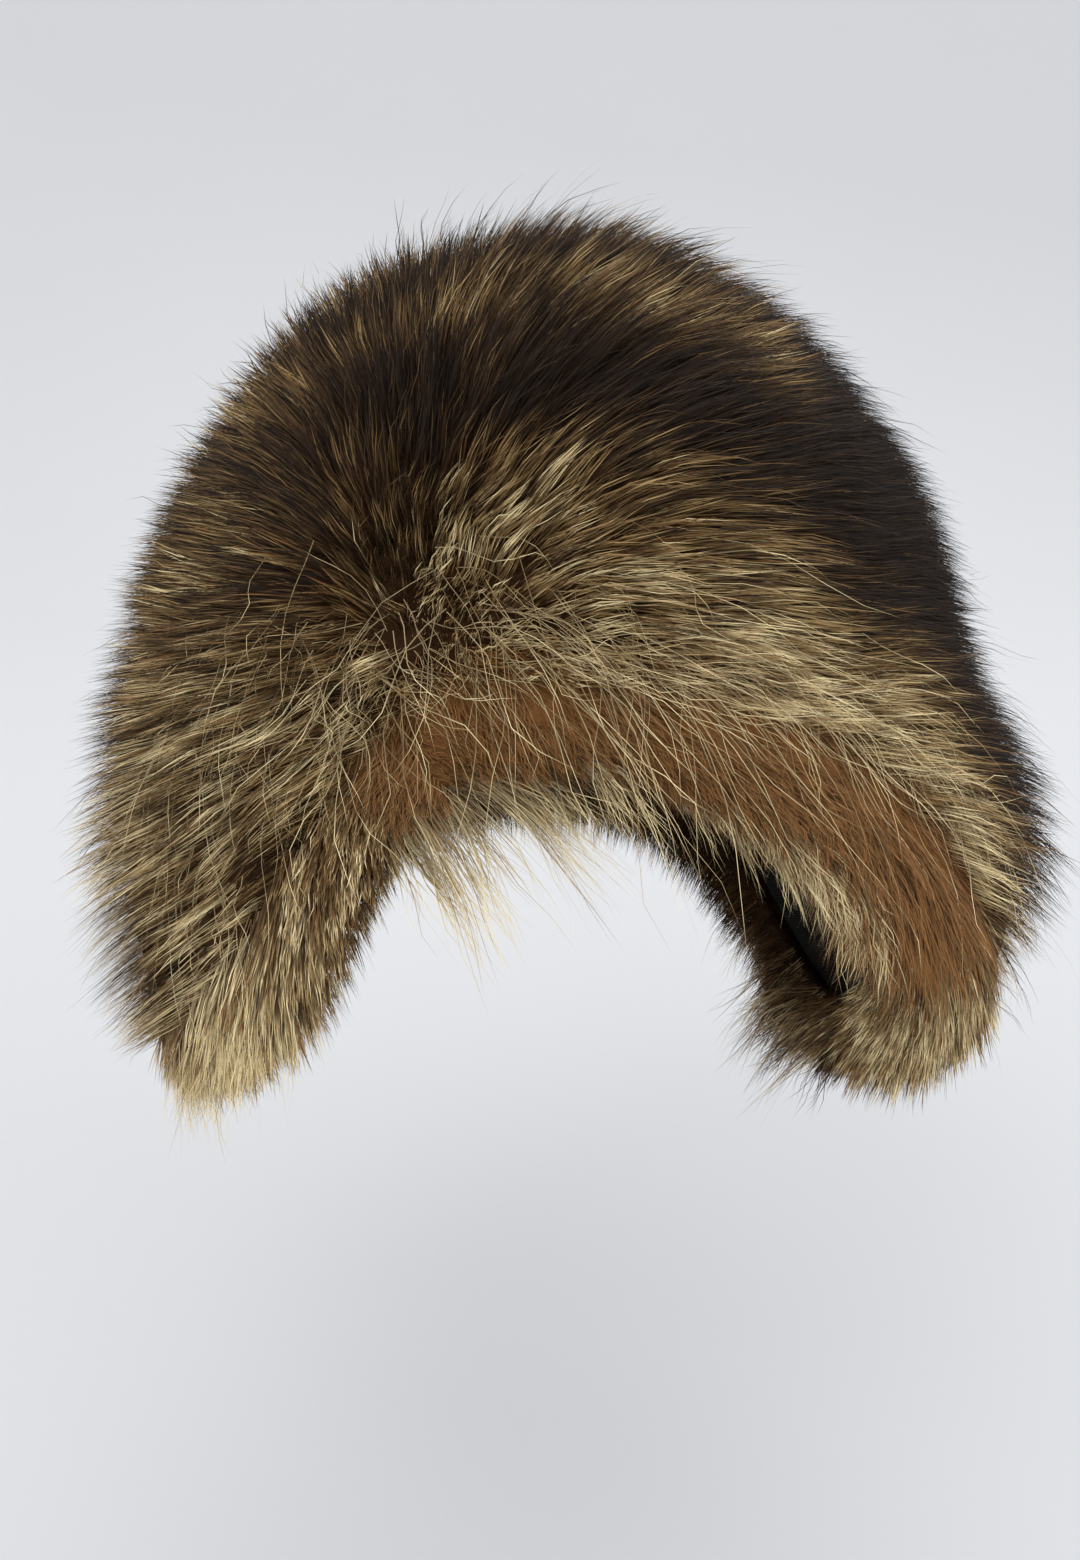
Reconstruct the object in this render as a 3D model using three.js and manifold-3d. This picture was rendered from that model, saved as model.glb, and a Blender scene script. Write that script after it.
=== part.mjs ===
// A fur aviator hat: a dark lined shell that carries five pieces of deep fur with their locks.
// Millimetres, +Z up. The hat faces -Y, and its origin is the inside top of the crown, where it
// sits on a head. Left and right are the wearer's: the wearer's left is +X.
import * as THREE from "three";
import { mergeVertices } from "three/addons/utils/BufferGeometryUtils.js";
import Module from "manifold-3d";

const wasm = await Module();
wasm.setup();

const LINING_THICKNESS = 2;
const GAP = 0.4;
const SEAM_GAP = 1.6;
const FUR_RADIUS = 130; // about how far the fur lies from the centre
const SLOPE_STEP = 1; // degrees to each side, for a slope of the skin side
const CENTRE = new THREE.Vector3(0, 0, -102);

// The skin side of the fur: its distance from the centre, by the angle down from the top.
const PELT = [
  { polar: 0, front: 104, right: 104, left: 104, back: 104 },
  { polar: 30, front: 102, right: 104, left: 97, back: 104 },
  { polar: 60, front: 102, right: 102, left: 94, back: 107 },
  { polar: 80, front: 104, right: 105, left: 97, back: 110 },
  { polar: 90, front: 107, right: 110, left: 102, back: 112 },
  { polar: 100, front: 113, right: 118, left: 112, back: 117 },
  { polar: 110, front: 122, right: 129, left: 127, back: 126 },
  { polar: 118, front: 132, right: 139, left: 140, back: 137 },
  { polar: 126, front: 143, right: 149, left: 151, back: 148 },
  { polar: 134, front: 154, right: 159, left: 160, back: 158 },
  { polar: 142, front: 164, right: 168, left: 168, back: 167 },
  { polar: 160, front: 180, right: 182, left: 182, back: 182 },
];

// The depth of the fur over the skin side, to the tips of its locks.
const DEPTH = [
  { polar: 0, front: 29, right: 29, left: 29, back: 29 },
  { polar: 60, front: 27, right: 28, left: 26, back: 30 },
  { polar: 90, front: 27, right: 30, left: 28, back: 32 },
  { polar: 110, front: 30, right: 33, left: 34, back: 34 },
  { polar: 142, front: 32, right: 36, left: 36, back: 36 },
];

// The angle down from the top at which each side's rim lies, by the heading from the front.
// The left ear flap hangs a little lower than the right one, and the nape flap less low.
const RIM = [
  { heading: 0, right: 84, left: 84 },
  { heading: 18, right: 86.5, left: 90.5 },
  { heading: 28, right: 93, left: 97 },
  { heading: 36, right: 103.5, left: 103.5 },
  { heading: 44, right: 115, left: 110 },
  { heading: 52, right: 122.5, left: 116.5 },
  { heading: 60, right: 127, left: 123.5 },
  { heading: 70, right: 131.5, left: 133 },
  { heading: 80, right: 134.5, left: 140 },
  { heading: 95, right: 136.5, left: 143 },
  { heading: 115, right: 135, left: 141 },
  { heading: 140, right: 129, left: 132 },
  { heading: 160, right: 125, left: 126 },
  { heading: 180, right: 124, left: 124 },
];

// The seam between the crown and the pieces below it.
const CROWN_SEAM = [
  { heading: 0, polar: 60 },
  { heading: 40, polar: 66 },
  { heading: 90, polar: 86 },
  { heading: 150, polar: 90 },
  { heading: 180, polar: 90 },
];

const HEADING_STEP = 12;
const CROWN_ROWS = 5;
const FLAP_ROWS = 5;
const SIDE_GAP = 0.35; // degrees of heading at each side of a seam
const WALL_SHARE = 0.8; // of the fur's depth: the locks stand over it

// The rounded turn of the fur under the rim: how far past the rim, and at what share of the wall.
const TURN = [
  { past: 9, share: 0.9 },
  { past: 16, share: 0.62 },
  { past: 17, share: 0.25 },
  { past: 12, share: -0.12 },
];
const TURN_INSIDE = 9; // the fur's reach in over the lining
const TURN_END = 5;

// A lock along its length: its width as a share, its ridge, and its height over the wall.
const LOCK = [
  { along: 0, width: 0.5, ridge: 4, height: -7 },
  { along: 0.35, width: 1, ridge: 10, height: -3 },
  { along: 0.7, width: 0.7, ridge: 8, height: 1 },
  { along: 1, width: 0, ridge: 0, height: 9 },
];
const LOCK_SPACING = 39;
const LOCK_LENGTH = 48;
const FOOT_SHARE = 0.84; // of a lock's run, at the skin side below it
const LOCK_WIDTH = 31;
const RIM_LOCKS = 38;
const RIM_LOCK_LENGTH = 36;
const RIM_LOCK_SINK = 8;
const RIM_LOCK_HANG = 0.8;
const SIMPLIFY = 0.3;

// How the locks are scattered: shares of a row's step or of a lock's size, and degrees.
const FIRST_ROW = 0.7;
const LAST_POLAR = 140;
const ROUND_JITTER = 0.7;
const DOWN_JITTER = 0.4;
const LENGTHS = [0.8, 1.2];
const WIDTHS = [0.85, 1.15];
const RIM_LENGTHS = [0.75, 1.25];
const RIM_WIDTH = 0.8;
const RIM_START = 3;
const RIM_CLEARANCE = 6;
const SEAM_CLEARANCE = 4;

// The room that a piece's locks are kept in: over the skin side, and past the rim.
const ROOM_HEIGHT = 45;
const ROOM_PAST_RIM = 48;
const ROOM_OPEN_PAST = 2; // degrees past the rim where the room reaches in under the lining
const ROOM_INSIDE = -6;

// The hair runs away from a whorl over the right of the brow and droops as it goes.
const WHORL = { heading: -27, polar: 76 };
const DROOP_FRONT = 0.3;
const DROOP_BACK = 1.1;

const { degToRad, radToDeg, clamp, lerp } = THREE.MathUtils;

// A column of a table, read smoothly between its rows.
function read(table, along, column, at) {
  const last = table.length - 1;
  const place = clamp(at, table[0][along], table[last][along]);
  let row = 0;
  while (row < last - 1 && table[row + 1][along] <= place) row += 1;
  const slope = (k) => {
    if (k === 0) return 0;
    const before = table[k - 1];
    const after = table[Math.min(k + 1, last)];
    return (after[column] - before[column]) / (after[along] - before[along]);
  };
  const [a, b] = [table[row], table[row + 1]];
  const span = b[along] - a[along];
  const t = (place - a[along]) / span;
  const [t2, t3] = [t * t, t * t * t];
  return (
    (2 * t3 - 3 * t2 + 1) * a[column] +
    (t3 - 2 * t2 + t) * span * slope(row) +
    (3 * t2 - 2 * t3) * b[column] +
    (t3 - t2) * span * slope(row + 1)
  );
}

// Four columns of a table, front, right, left and back, joined by ellipse quarters.
function readRound(table, heading, polar) {
  const across = Math.sin(degToRad(heading));
  const ahead = Math.cos(degToRad(heading));
  const side = read(table, "polar", across > 0 ? "left" : "right", polar);
  const end = read(table, "polar", ahead > 0 ? "front" : "back", polar);
  return 1 / Math.hypot(across / side, ahead / end);
}

const turned = (heading) => Math.abs(((((heading + 180) % 360) + 360) % 360) - 180);
const isLeft = (heading) => Math.sin(degToRad(heading)) > 0;
const rimPolar = (heading) => read(RIM, "heading", isLeft(heading) ? "left" : "right", turned(heading));
const seamPolar = (heading) => read(CROWN_SEAM, "heading", "polar", turned(heading));

function peltPoint(heading, polar) {
  const [h, p] = [degToRad(heading), degToRad(polar)];
  const way = new THREE.Vector3(Math.sin(p) * Math.sin(h), -Math.sin(p) * Math.cos(h), Math.cos(p));
  return way.multiplyScalar(readRound(PELT, heading, polar)).add(CENTRE);
}

// The way straight out of the skin side at one place.
function outward(heading, polar) {
  if (polar < SLOPE_STEP) return new THREE.Vector3(0, 0, 1);
  const [before, after] = [heading - SLOPE_STEP, heading + SLOPE_STEP];
  const round = peltPoint(after, polar).sub(peltPoint(before, polar));
  const [above, below] = [polar - SLOPE_STEP, polar + SLOPE_STEP];
  const down = peltPoint(heading, below).sub(peltPoint(heading, above));
  return down.cross(round).normalize();
}

const raised = (heading, polar, height) =>
  outward(heading, polar).multiplyScalar(height).add(peltPoint(heading, polar));
const wallHeight = (heading, polar) => WALL_SHARE * readRound(DEPTH, heading, polar);
const degreesFor = (length, heading, polar) =>
  radToDeg(length / readRound(PELT, heading, polar));

// A point of space as heading and polar angle about the centre.
function placeOf(point) {
  const q = point.clone().sub(CENTRE);
  return {
    heading: radToDeg(Math.atan2(q.x, -q.y)),
    polar: radToDeg(Math.acos(clamp(q.z / q.length(), -1, 1))),
  };
}

// The rows of the skin side at one heading: the crown's down to the seam, then the flap's to the rim.
function crownRows(heading) {
  return Array.from({ length: CROWN_ROWS + 1 }, (_, k) => (seamPolar(heading) * k) / CROWN_ROWS);
}
function flapRows(heading) {
  const [top, end] = [seamPolar(heading), rimPolar(heading)];
  return Array.from({ length: FLAP_ROWS + 1 }, (_, k) => lerp(top, end, k / FLAP_ROWS));
}

const facingBack = ([a, b, c]) => [a, c, b];

// A closed solid from triangles of points, without those that have no width, and facing out.
function solidOf(triangles) {
  const whole = new THREE.BufferGeometry().setFromPoints(triangles.flat());
  const merged = mergeVertices(whole, 1e-4);
  const index = [];
  for (let i = 0; i < merged.index.count; i += 3) {
    const [a, b, c] = [0, 1, 2].map((k) => merged.index.getX(i + k));
    if (a !== b && b !== c && c !== a) index.push(a, b, c);
  }
  const made = new wasm.Manifold(
    new wasm.Mesh({
      numProp: 3,
      vertProperties: merged.attributes.position.array,
      triVerts: new Uint32Array(index),
    }),
  );
  return made.volume() > 0 ? made : solidOf(triangles.map(facingBack));
}

// The faces between a row of points and the next one.
function band(one, next, closed) {
  const triangles = [];
  const count = closed ? one.length : one.length - 1;
  for (let k = 0; k < count; k += 1) {
    const m = (k + 1) % one.length;
    triangles.push([one[k], next[k], one[m]], [one[m], next[k], next[m]]);
  }
  return triangles;
}

// A dome whose profile, from its outer pole to its inner pole, is given for each heading.
function dome(profileAt) {
  const profiles = [];
  for (let heading = -180; heading < 180; heading += HEADING_STEP) profiles.push(profileAt(heading));
  return solidOf(profiles.flatMap((p, k) => band(p, profiles[(k + 1) % profiles.length], false)));
}

// A stretch of fur from one heading to another, with closed ends. A section is a closed loop of
// places: its polar angle and its height over the skin side.
function stretch(from, to, sectionAt) {
  const headings = [from + SIDE_GAP];
  for (let heading = from + HEADING_STEP; heading < to; heading += HEADING_STEP) headings.push(heading);
  headings.push(to - SIDE_GAP);
  const sections = headings.map((heading) => sectionAt(heading));
  const loops = headings.map((heading, k) => sections[k].map((s) => raised(heading, s.polar, s.height)));
  const end = (k) => {
    const flat = sections[k].map((s) => new THREE.Vector2(degToRad(s.polar) * FUR_RADIUS, s.height));
    const faces = THREE.ShapeUtils.triangulateShape(flat, []);
    const asTheLoop = faces.map((face) => face.map((corner) => loops[k][corner]));
    return THREE.ShapeUtils.isClockWise(flat) ? asTheLoop.map(facingBack) : asTheLoop;
  };
  const sides = loops.slice(1).flatMap((loop, k) => band(loops[k], loop, true));
  const triangles = [...sides, ...end(0), ...end(headings.length - 1).map(facingBack)];
  return solidOf(triangles);
}

function linedShell() {
  return dome((heading) => {
    const rows = [...crownRows(heading), ...flapRows(heading).slice(1)];
    const outer = rows.map((polar) => raised(heading, polar, 0));
    const inner = rows.map((polar) => raised(heading, polar, -LINING_THICKNESS));
    return [...outer, ...inner.reverse()];
  });
}

function crownWall(height) {
  return dome((heading) => {
    const rows = crownRows(heading);
    rows[CROWN_ROWS] -= degreesFor(SEAM_GAP / 2, heading, rows[CROWN_ROWS]);
    const outer = rows.map((polar) => raised(heading, polar, height(heading, polar)));
    const inner = rows.map((polar) => raised(heading, polar, GAP));
    return [...inner, ...outer.reverse()];
  });
}

// The section of a flap: down its skin side, round the lining's edge and up inside it a little,
// then under the rim and up over the fur.
function flapSection(heading) {
  const rows = flapRows(heading);
  const rim = rows[FLAP_ROWS];
  const wall = wallHeight(heading, rim);
  const past = (length) => rim + degreesFor(length, heading, rim);
  const inside = -LINING_THICKNESS - GAP;
  rows[0] += degreesFor(SEAM_GAP / 2, heading, rows[0]);
  return [
    ...rows.map((polar) => ({ polar, height: wallHeight(heading, polar) })),
    ...TURN.map((turn) => ({ polar: past(turn.past), height: turn.share * wall })),
    { polar: past(GAP), height: inside - TURN_INSIDE },
    { polar: rows[FLAP_ROWS - 1], height: inside - TURN_END },
    { polar: rows[FLAP_ROWS - 1], height: inside },
    { polar: rim, height: inside },
    { polar: past(GAP), height: inside },
    { polar: past(GAP), height: GAP },
    ...[...rows].reverse().map((polar) => ({ polar, height: GAP })),
  ].reverse();
}

// The room in which a flap's locks may lie.
function flapRoom(heading) {
  const top = seamPolar(heading) + degreesFor(SEAM_GAP / 2, heading, seamPolar(heading));
  const rim = rimPolar(heading);
  const low = rim + degreesFor(ROOM_PAST_RIM, heading, rim);
  const rows = [0, 0.25, 0.5, 0.75, 1].map((share) => lerp(top, low, share));
  const floorAt = (polar) => (polar > rim + ROOM_OPEN_PAST ? ROOM_INSIDE : GAP);
  return [
    ...rows.map((polar) => ({ polar, height: ROOM_HEIGHT })),
    ...rows.reverse().map((polar) => ({ polar, height: floorAt(polar) })),
  ];
}

// The run of the hair at one point of the fur.
function flowAt(point) {
  const { heading, polar } = placeOf(point);
  const out = outward(heading, polar);
  const away = point.clone().sub(peltPoint(WHORL.heading, WHORL.polar)).projectOnPlane(out).normalize();
  const back = (1 - Math.cos(degToRad(heading))) / 2;
  away.z -= lerp(DROOP_FRONT, DROOP_BACK, back * Math.sin(degToRad(polar)));
  return away.projectOnPlane(out).normalize();
}

// A repeatable number from 0 to 1 for each whole number.
const chance = (seed) => {
  const value = Math.sin(seed * 127.1 + 11.7) * 43758.5453;
  return value - Math.floor(value);
};

// A tapered lock that starts in the wall, follows the hair's run and ends in a free tip.
function lockSolid({ heading, polar, length, width, sink, hang }) {
  const runAt = (foot, out) => {
    const down = new THREE.Vector3(0, 0, -1).projectOnPlane(out).normalize();
    return flowAt(foot).lerp(down, hang).normalize();
  };
  const rings = [];
  let foot = peltPoint(heading, polar);
  LOCK.forEach((station, k) => {
    if (k > 0) {
      const step = (station.along - LOCK[k - 1].along) * length * FOOT_SHARE;
      const before = placeOf(foot);
      foot.addScaledVector(runAt(foot, outward(before.heading, before.polar)), step);
    }
    const place = placeOf(foot);
    const out = outward(place.heading, place.polar);
    foot = peltPoint(place.heading, place.polar);
    const height = wallHeight(place.heading, place.polar) + station.height - sink;
    const point = foot.clone().addScaledVector(out, height);
    const side = runAt(foot, out).cross(out).normalize();
    const half = (station.width * width) / 2;
    rings.push([
      point.clone().addScaledVector(side, half),
      point.clone().addScaledVector(out, station.ridge),
      point.clone().addScaledVector(side, -half),
    ]);
  });
  const sides = rings.slice(1).flatMap((ring, k) => band(rings[k], ring, true));
  return solidOf([...sides, rings[0]]);
}

// The places of the locks over the whole hat, in rows down from the top.
function lockPlaces() {
  const places = [];
  const rowStep = radToDeg(LOCK_SPACING / FUR_RADIUS);
  let seed = 0;
  for (let polar = rowStep * FIRST_ROW; polar < LAST_POLAR; polar += rowStep) {
    const round = 2 * Math.PI * FUR_RADIUS * Math.sin(degToRad(polar));
    const count = Math.max(3, Math.round(round / LOCK_SPACING));
    for (let k = 0; k < count; k += 1) {
      seed += 1;
      const heading = -180 + (360 * (k + ROUND_JITTER * chance(seed))) / count;
      if (polar > rimPolar(heading) - RIM_CLEARANCE) continue;
      places.push({
        heading,
        polar: polar + rowStep * DOWN_JITTER * (chance(seed + 500) - 0.5),
        length: LOCK_LENGTH * lerp(...LENGTHS, chance(seed + 900)),
        width: LOCK_WIDTH * lerp(...WIDTHS, chance(seed + 300)),
        sink: 0,
        hang: 0,
      });
    }
  }
  return places;
}

// The locks that hang off the rim, one row all the way round.
function rimPlaces() {
  const places = [];
  for (let k = 0; k < RIM_LOCKS; k += 1) {
    const heading = -180 + (360 * (k + 0.5)) / RIM_LOCKS;
    places.push({
      heading,
      polar: rimPolar(heading) - RIM_START,
      length: RIM_LOCK_LENGTH * lerp(...RIM_LENGTHS, chance(k + 70)),
      width: LOCK_WIDTH * RIM_WIDTH,
      sink: RIM_LOCK_SINK,
      hang: RIM_LOCK_HANG,
    });
  }
  return places;
}

const within = (heading, from, to) =>
  (heading >= from && heading < to) || (heading + 360 >= from && heading + 360 < to);

// The largest of a solid's surfaces, so that no chip of a lock and no closed pocket is left.
const largest = (solid) => solid.decompose().reduce((a, b) => (b.volume() > a.volume() ? b : a));

// A wall of fur fused with the locks that start on it, kept inside its own room.
function furPiece(wall, room, places) {
  const locks = places.map(lockSolid).reduce((all, one) => all.add(one), wall);
  return largest(locks.intersect(room).add(wall).simplify(SIMPLIFY));
}

const PIECES = [
  { name: "brow_fur", from: -36, to: 36 },
  { name: "ear_flap_left_fur", from: 36, to: 120 },
  { name: "ear_flap_right_fur", from: -120, to: -36 },
  { name: "nape_flap_fur", from: 120, to: 240 },
];

const FUR = new THREE.MeshStandardMaterial({ color: 0x6b5034, roughness: 0.95, metalness: 0 });
const LINING = new THREE.MeshStandardMaterial({ color: 0x17120f, roughness: 0.8, metalness: 0 });

function named(name, solid, material) {
  const made = solid.getMesh();
  const points = new Float32Array(made.numVert * 3);
  for (let i = 0; i < made.numVert; i += 1) {
    points.set(made.vertProperties.subarray(i * made.numProp, i * made.numProp + 3), i * 3);
  }
  const geometry = new THREE.BufferGeometry();
  geometry.setAttribute("position", new THREE.BufferAttribute(points, 3));
  geometry.setIndex(new THREE.BufferAttribute(made.triVerts, 1));
  geometry.computeVertexNormals();
  const mesh = new THREE.Mesh(geometry, material);
  mesh.name = name;
  return mesh;
}

const places = lockPlaces();
const hat = new THREE.Group();
hat.add(named("lining", linedShell(), LINING));

const crownPlaces = places.filter((place) => place.polar < seamPolar(place.heading) - SEAM_CLEARANCE);
const crown = furPiece(crownWall(wallHeight), crownWall(() => ROOM_HEIGHT), crownPlaces);
hat.add(named("crown_fur", crown, FUR));

const flapPlaces = places.filter((place) => place.polar >= seamPolar(place.heading));
for (const { name, from, to } of PIECES) {
  const own = [...flapPlaces, ...rimPlaces()].filter(
    (place) => within(place.heading, from, to) && rimPolar(place.heading) > seamPolar(place.heading),
  );
  const piece = furPiece(stretch(from, to, flapSection), stretch(from, to, flapRoom), own);
  hat.add(named(name, piece, FUR));
}

export default hat;
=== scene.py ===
"""A fur aviator hat: banded deep fur over a dark cloth-lined shell, on a pale stage.

The hat faces -Y, +Z is up, and the origin is the inside top of the crown. Left and right are the
wearer's, so the left ear flap is at +X. Forms are worked out in millimetres and put into the
meshes in metres. A heading is an angle from the front, positive towards the left, and a polar
angle is measured down from the top about the hat's centre, both in degrees.
"""

import bpy
import numpy as np
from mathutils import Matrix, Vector


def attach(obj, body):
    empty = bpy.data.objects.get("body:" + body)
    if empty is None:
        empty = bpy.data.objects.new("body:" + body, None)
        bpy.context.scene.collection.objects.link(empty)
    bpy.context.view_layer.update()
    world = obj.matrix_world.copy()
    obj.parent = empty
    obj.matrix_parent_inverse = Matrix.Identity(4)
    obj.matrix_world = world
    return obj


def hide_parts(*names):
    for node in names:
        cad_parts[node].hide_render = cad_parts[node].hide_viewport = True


bl_info = {
    "name": "Fur Aviator Hat",
    "version": (1, 0, 0),
    "blender": (4, 5, 0),
    "location": "3D View > Sidebar > Fur Hat",
    "description": "Dresses a lined hat shell in banded deep fur and sets it on a pale stage",
    "category": "Add Mesh",
}

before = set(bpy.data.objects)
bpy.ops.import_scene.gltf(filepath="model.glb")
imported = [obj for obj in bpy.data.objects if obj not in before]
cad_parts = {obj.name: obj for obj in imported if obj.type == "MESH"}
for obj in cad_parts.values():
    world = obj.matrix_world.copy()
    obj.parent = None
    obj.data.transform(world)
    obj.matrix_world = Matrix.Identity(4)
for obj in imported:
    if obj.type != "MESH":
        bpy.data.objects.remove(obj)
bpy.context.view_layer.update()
MM = 0.001

# The form of the hat

CENTRE = np.array([0.0, 0.0, -102.0])
LINING_THICKNESS = 2.0
TURN_INSIDE = 9.0
TURN_REACH = 17.0
TURN_SHARE = 0.72
DOWN = np.array([0.0, 0.0, -1.0])
LEFT = np.array([1.0, 0.0, 0.0])

# The skin side's distance from the centre, by the polar angle.
PELT = {
    "polar": [0, 30, 60, 80, 90, 100, 110, 118, 126, 134, 142, 160],
    "front": [104, 102, 102, 104, 107, 113, 122, 132, 143, 154, 164, 180],
    "right": [104, 104, 102, 105, 110, 118, 129, 139, 149, 159, 168, 182],
    "left": [104, 97, 94, 97, 102, 112, 127, 140, 151, 160, 168, 182],
    "back": [104, 104, 107, 110, 112, 117, 126, 137, 148, 158, 167, 182],
}

# The depth of the fur to the tips of its locks, by the polar angle.
DEPTH = {
    "polar": [0, 60, 90, 110, 142],
    "front": [29, 27, 27, 30, 32],
    "right": [29, 28, 30, 33, 36],
    "left": [29, 26, 28, 34, 36],
    "back": [29, 30, 32, 34, 36],
}

# The rim's polar angle on each side, by the heading.
RIM = {
    "heading": [0, 18, 28, 36, 44, 52, 60, 70, 80, 95, 115, 140, 160, 180],
    "right": [84, 86.5, 93, 103.5, 115, 122.5, 127, 131.5, 134.5, 136.5, 135, 129, 125, 124],
    "left": [84, 90.5, 97, 103.5, 110, 116.5, 123.5, 133, 140, 143, 141, 132, 126, 124],
}

# How far above the rim the long coat ends, in degrees: below it the soft rust underfur shows.
BARE_RIM = {
    "heading": [0, 9, 18, 28, 36, 44, 52, 60, 70, 80, 180],
    "right": [3.5, 4.5, 5, 3, 0, 0, 0, 0, 0, 0, 0],
    "left": [3.5, 4, 5, 6, 7, 5.5, 2, 0, 0, 0, 0],
}

# The seam between the crown and the pieces below it.
CROWN_SEAM = {
    "heading": [0, 40, 90, 150, 180],
    "polar": [60, 66, 86, 90, 90],
}

# The seams between the brow, the ear flaps and the nape.
BROW_SIDE = 36.0
NAPE_SIDE = 120.0
SEAM_GAP = 0.3


def read(table, along, column, at):
    """A table's column read smoothly: a cubic between rows, with slopes from their neighbours."""
    place = np.asarray(table[along], float)
    value = np.asarray(table[column], float)
    slope = np.zeros_like(value)
    slope[1:-1] = (value[2:] - value[:-2]) / (place[2:] - place[:-2])
    slope[-1] = (value[-1] - value[-2]) / (place[-1] - place[-2])
    at = np.clip(at, place[0], place[-1])
    row = np.clip(np.searchsorted(place, at, side="right") - 1, 0, len(place) - 2)
    span = place[row + 1] - place[row]
    t = (at - place[row]) / span
    return (
        (2 * t**3 - 3 * t**2 + 1) * value[row]
        + (t**3 - 2 * t**2 + t) * span * slope[row]
        + (3 * t**2 - 2 * t**3) * value[row + 1]
        + (t**3 - t**2) * span * slope[row + 1]
    )


def read_round(table, heading, polar):
    """Front, right, left and back columns joined by ellipse quarters round the hat."""
    across, ahead = np.sin(np.radians(heading)), np.cos(np.radians(heading))
    left = read(table, "polar", "left", polar)
    right = read(table, "polar", "right", polar)
    front = read(table, "polar", "front", polar)
    back = read(table, "polar", "back", polar)
    side = np.where(across > 0, left, right)
    end = np.where(ahead > 0, front, back)
    return 1 / np.hypot(across / side, ahead / end)


def read_side(table, heading):
    """Right and left columns read at a heading, each on its own side of the hat."""
    away = turned(heading)
    left = read(table, "heading", "left", away)
    right = read(table, "heading", "right", away)
    return np.where(np.sin(np.radians(heading)) > 0, left, right)


def heading_of(angle):
    """A heading as an angle from -180 to 180 degrees."""
    return (angle + 180) % 360 - 180


def turned(heading):
    """A heading's angle from the front, from 0 to 180 degrees."""
    return np.abs(heading_of(heading))


def rim_polar(heading):
    """The rim's polar angle at a heading."""
    return read_side(RIM, heading)


def coat_edge(heading):
    """The polar angle where the long coat ends at a heading."""
    return rim_polar(heading) - read_side(BARE_RIM, heading)


def seam_polar(heading):
    """The crown seam's polar angle at a heading."""
    return read(CROWN_SEAM, "heading", "polar", turned(heading))


def bare_share(heading):
    """How far the rim is bare of long hair at a heading."""
    return smooth(read_side(BARE_RIM, heading), 1, 4)


def belt_share(heading):
    """How far the rust belt shows at a heading: wherever the rim is bare, but not round the
    corners of the flaps."""
    return bare_share(heading) * smooth(-turned(heading), -66, -48)


def near_edge(heading, polar, reach):
    """How near a place is to the long coat's lower edge: 1 at the edge and past it, and falling
    off as a bell curve of some reach in degrees above it."""
    return np.exp(-((np.maximum(coat_edge(heading) - polar, 0) / reach) ** 2))


def unit(vectors):
    """Vectors at length one."""
    return vectors / np.maximum(np.linalg.norm(vectors, axis=-1, keepdims=True), 1e-9)


def flattened(vectors, out):
    """Vectors without their part along the way out, at length one."""
    return unit(vectors - out * np.sum(vectors * out, axis=-1, keepdims=True))


def along_skin(way, out):
    """One way for all points, laid flat across each point's way out."""
    return flattened(np.broadcast_to(way, out.shape), out)


def smooth(value, low, high):
    """A share that goes smoothly from 0 at one value to 1 at another."""
    t = np.clip((value - low) / (high - low), 0, 1)
    return t * t * (3 - 2 * t)


def pelt_point(heading, polar):
    """The skin side: the centre plus its distance along the way of a heading and polar angle."""
    h, p = np.radians(heading), np.radians(polar)
    way = np.stack([np.sin(p) * np.sin(h), -np.sin(p) * np.cos(h), np.cos(p)], axis=-1)
    return CENTRE + way * read_round(PELT, heading, polar)[..., None]


def outward(heading, polar):
    """The way straight out of the skin side: the cross product of its slopes down and round."""
    polar = np.maximum(polar, 1.5)
    around = pelt_point(heading + 1, polar) - pelt_point(heading - 1, polar)
    down = pelt_point(heading, polar + 1) - pelt_point(heading, polar - 1)
    return unit(np.cross(down, around))


def raised(heading, polar, height):
    """A point over the skin side at a height along the way out."""
    return pelt_point(heading, polar) + outward(heading, polar) * np.asarray(height)[..., None]


def place_of(points):
    """The heading and polar angle of points about the centre."""
    q = points - CENTRE
    heading = np.degrees(np.arctan2(q[..., 0], -q[..., 1]))
    polar = np.degrees(np.arccos(np.clip(q[..., 2] / np.linalg.norm(q, axis=-1), -1, 1)))
    return heading, polar


def past_rim(heading):
    """The way along the skin side straight out over the rim: across both the rim's own run and
    the way out, on the side that points down."""
    rim = rim_polar(heading)
    ahead = pelt_point(heading + 0.6, rim_polar(heading + 0.6))
    tangent = ahead - pelt_point(heading - 0.6, rim_polar(heading - 0.6))
    out = outward(heading, rim)
    way = flattened(np.cross(tangent, out), out)
    down = along_skin(DOWN, out)
    return way * np.sign(np.sum(way * down, axis=-1, keepdims=True))


def turn_frame(heading, turn, share):
    """Places on the fur's turn under the rim and the ways straight out of it: a half ellipse from
    the outer fur at 0 degrees over the lowest line at 90 to the inside at 180."""
    rim = rim_polar(heading)
    out = outward(heading, rim)
    over = past_rim(heading)
    top = share * read_round(DEPTH, heading, rim)
    inside = -LINING_THICKNESS - TURN_INSIDE * share / TURN_SHARE
    reach = TURN_REACH * share / TURN_SHARE
    angle = np.radians(turn)[..., None]
    middle, half = ((top + inside) / 2)[..., None], ((top - inside) / 2)[..., None]
    foot = pelt_point(heading, rim)
    place = foot + out * (middle + half * np.cos(angle)) + over * reach * np.sin(angle)
    return place, unit(out * np.cos(angle) * reach + over * np.sin(angle) * half), out


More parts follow.
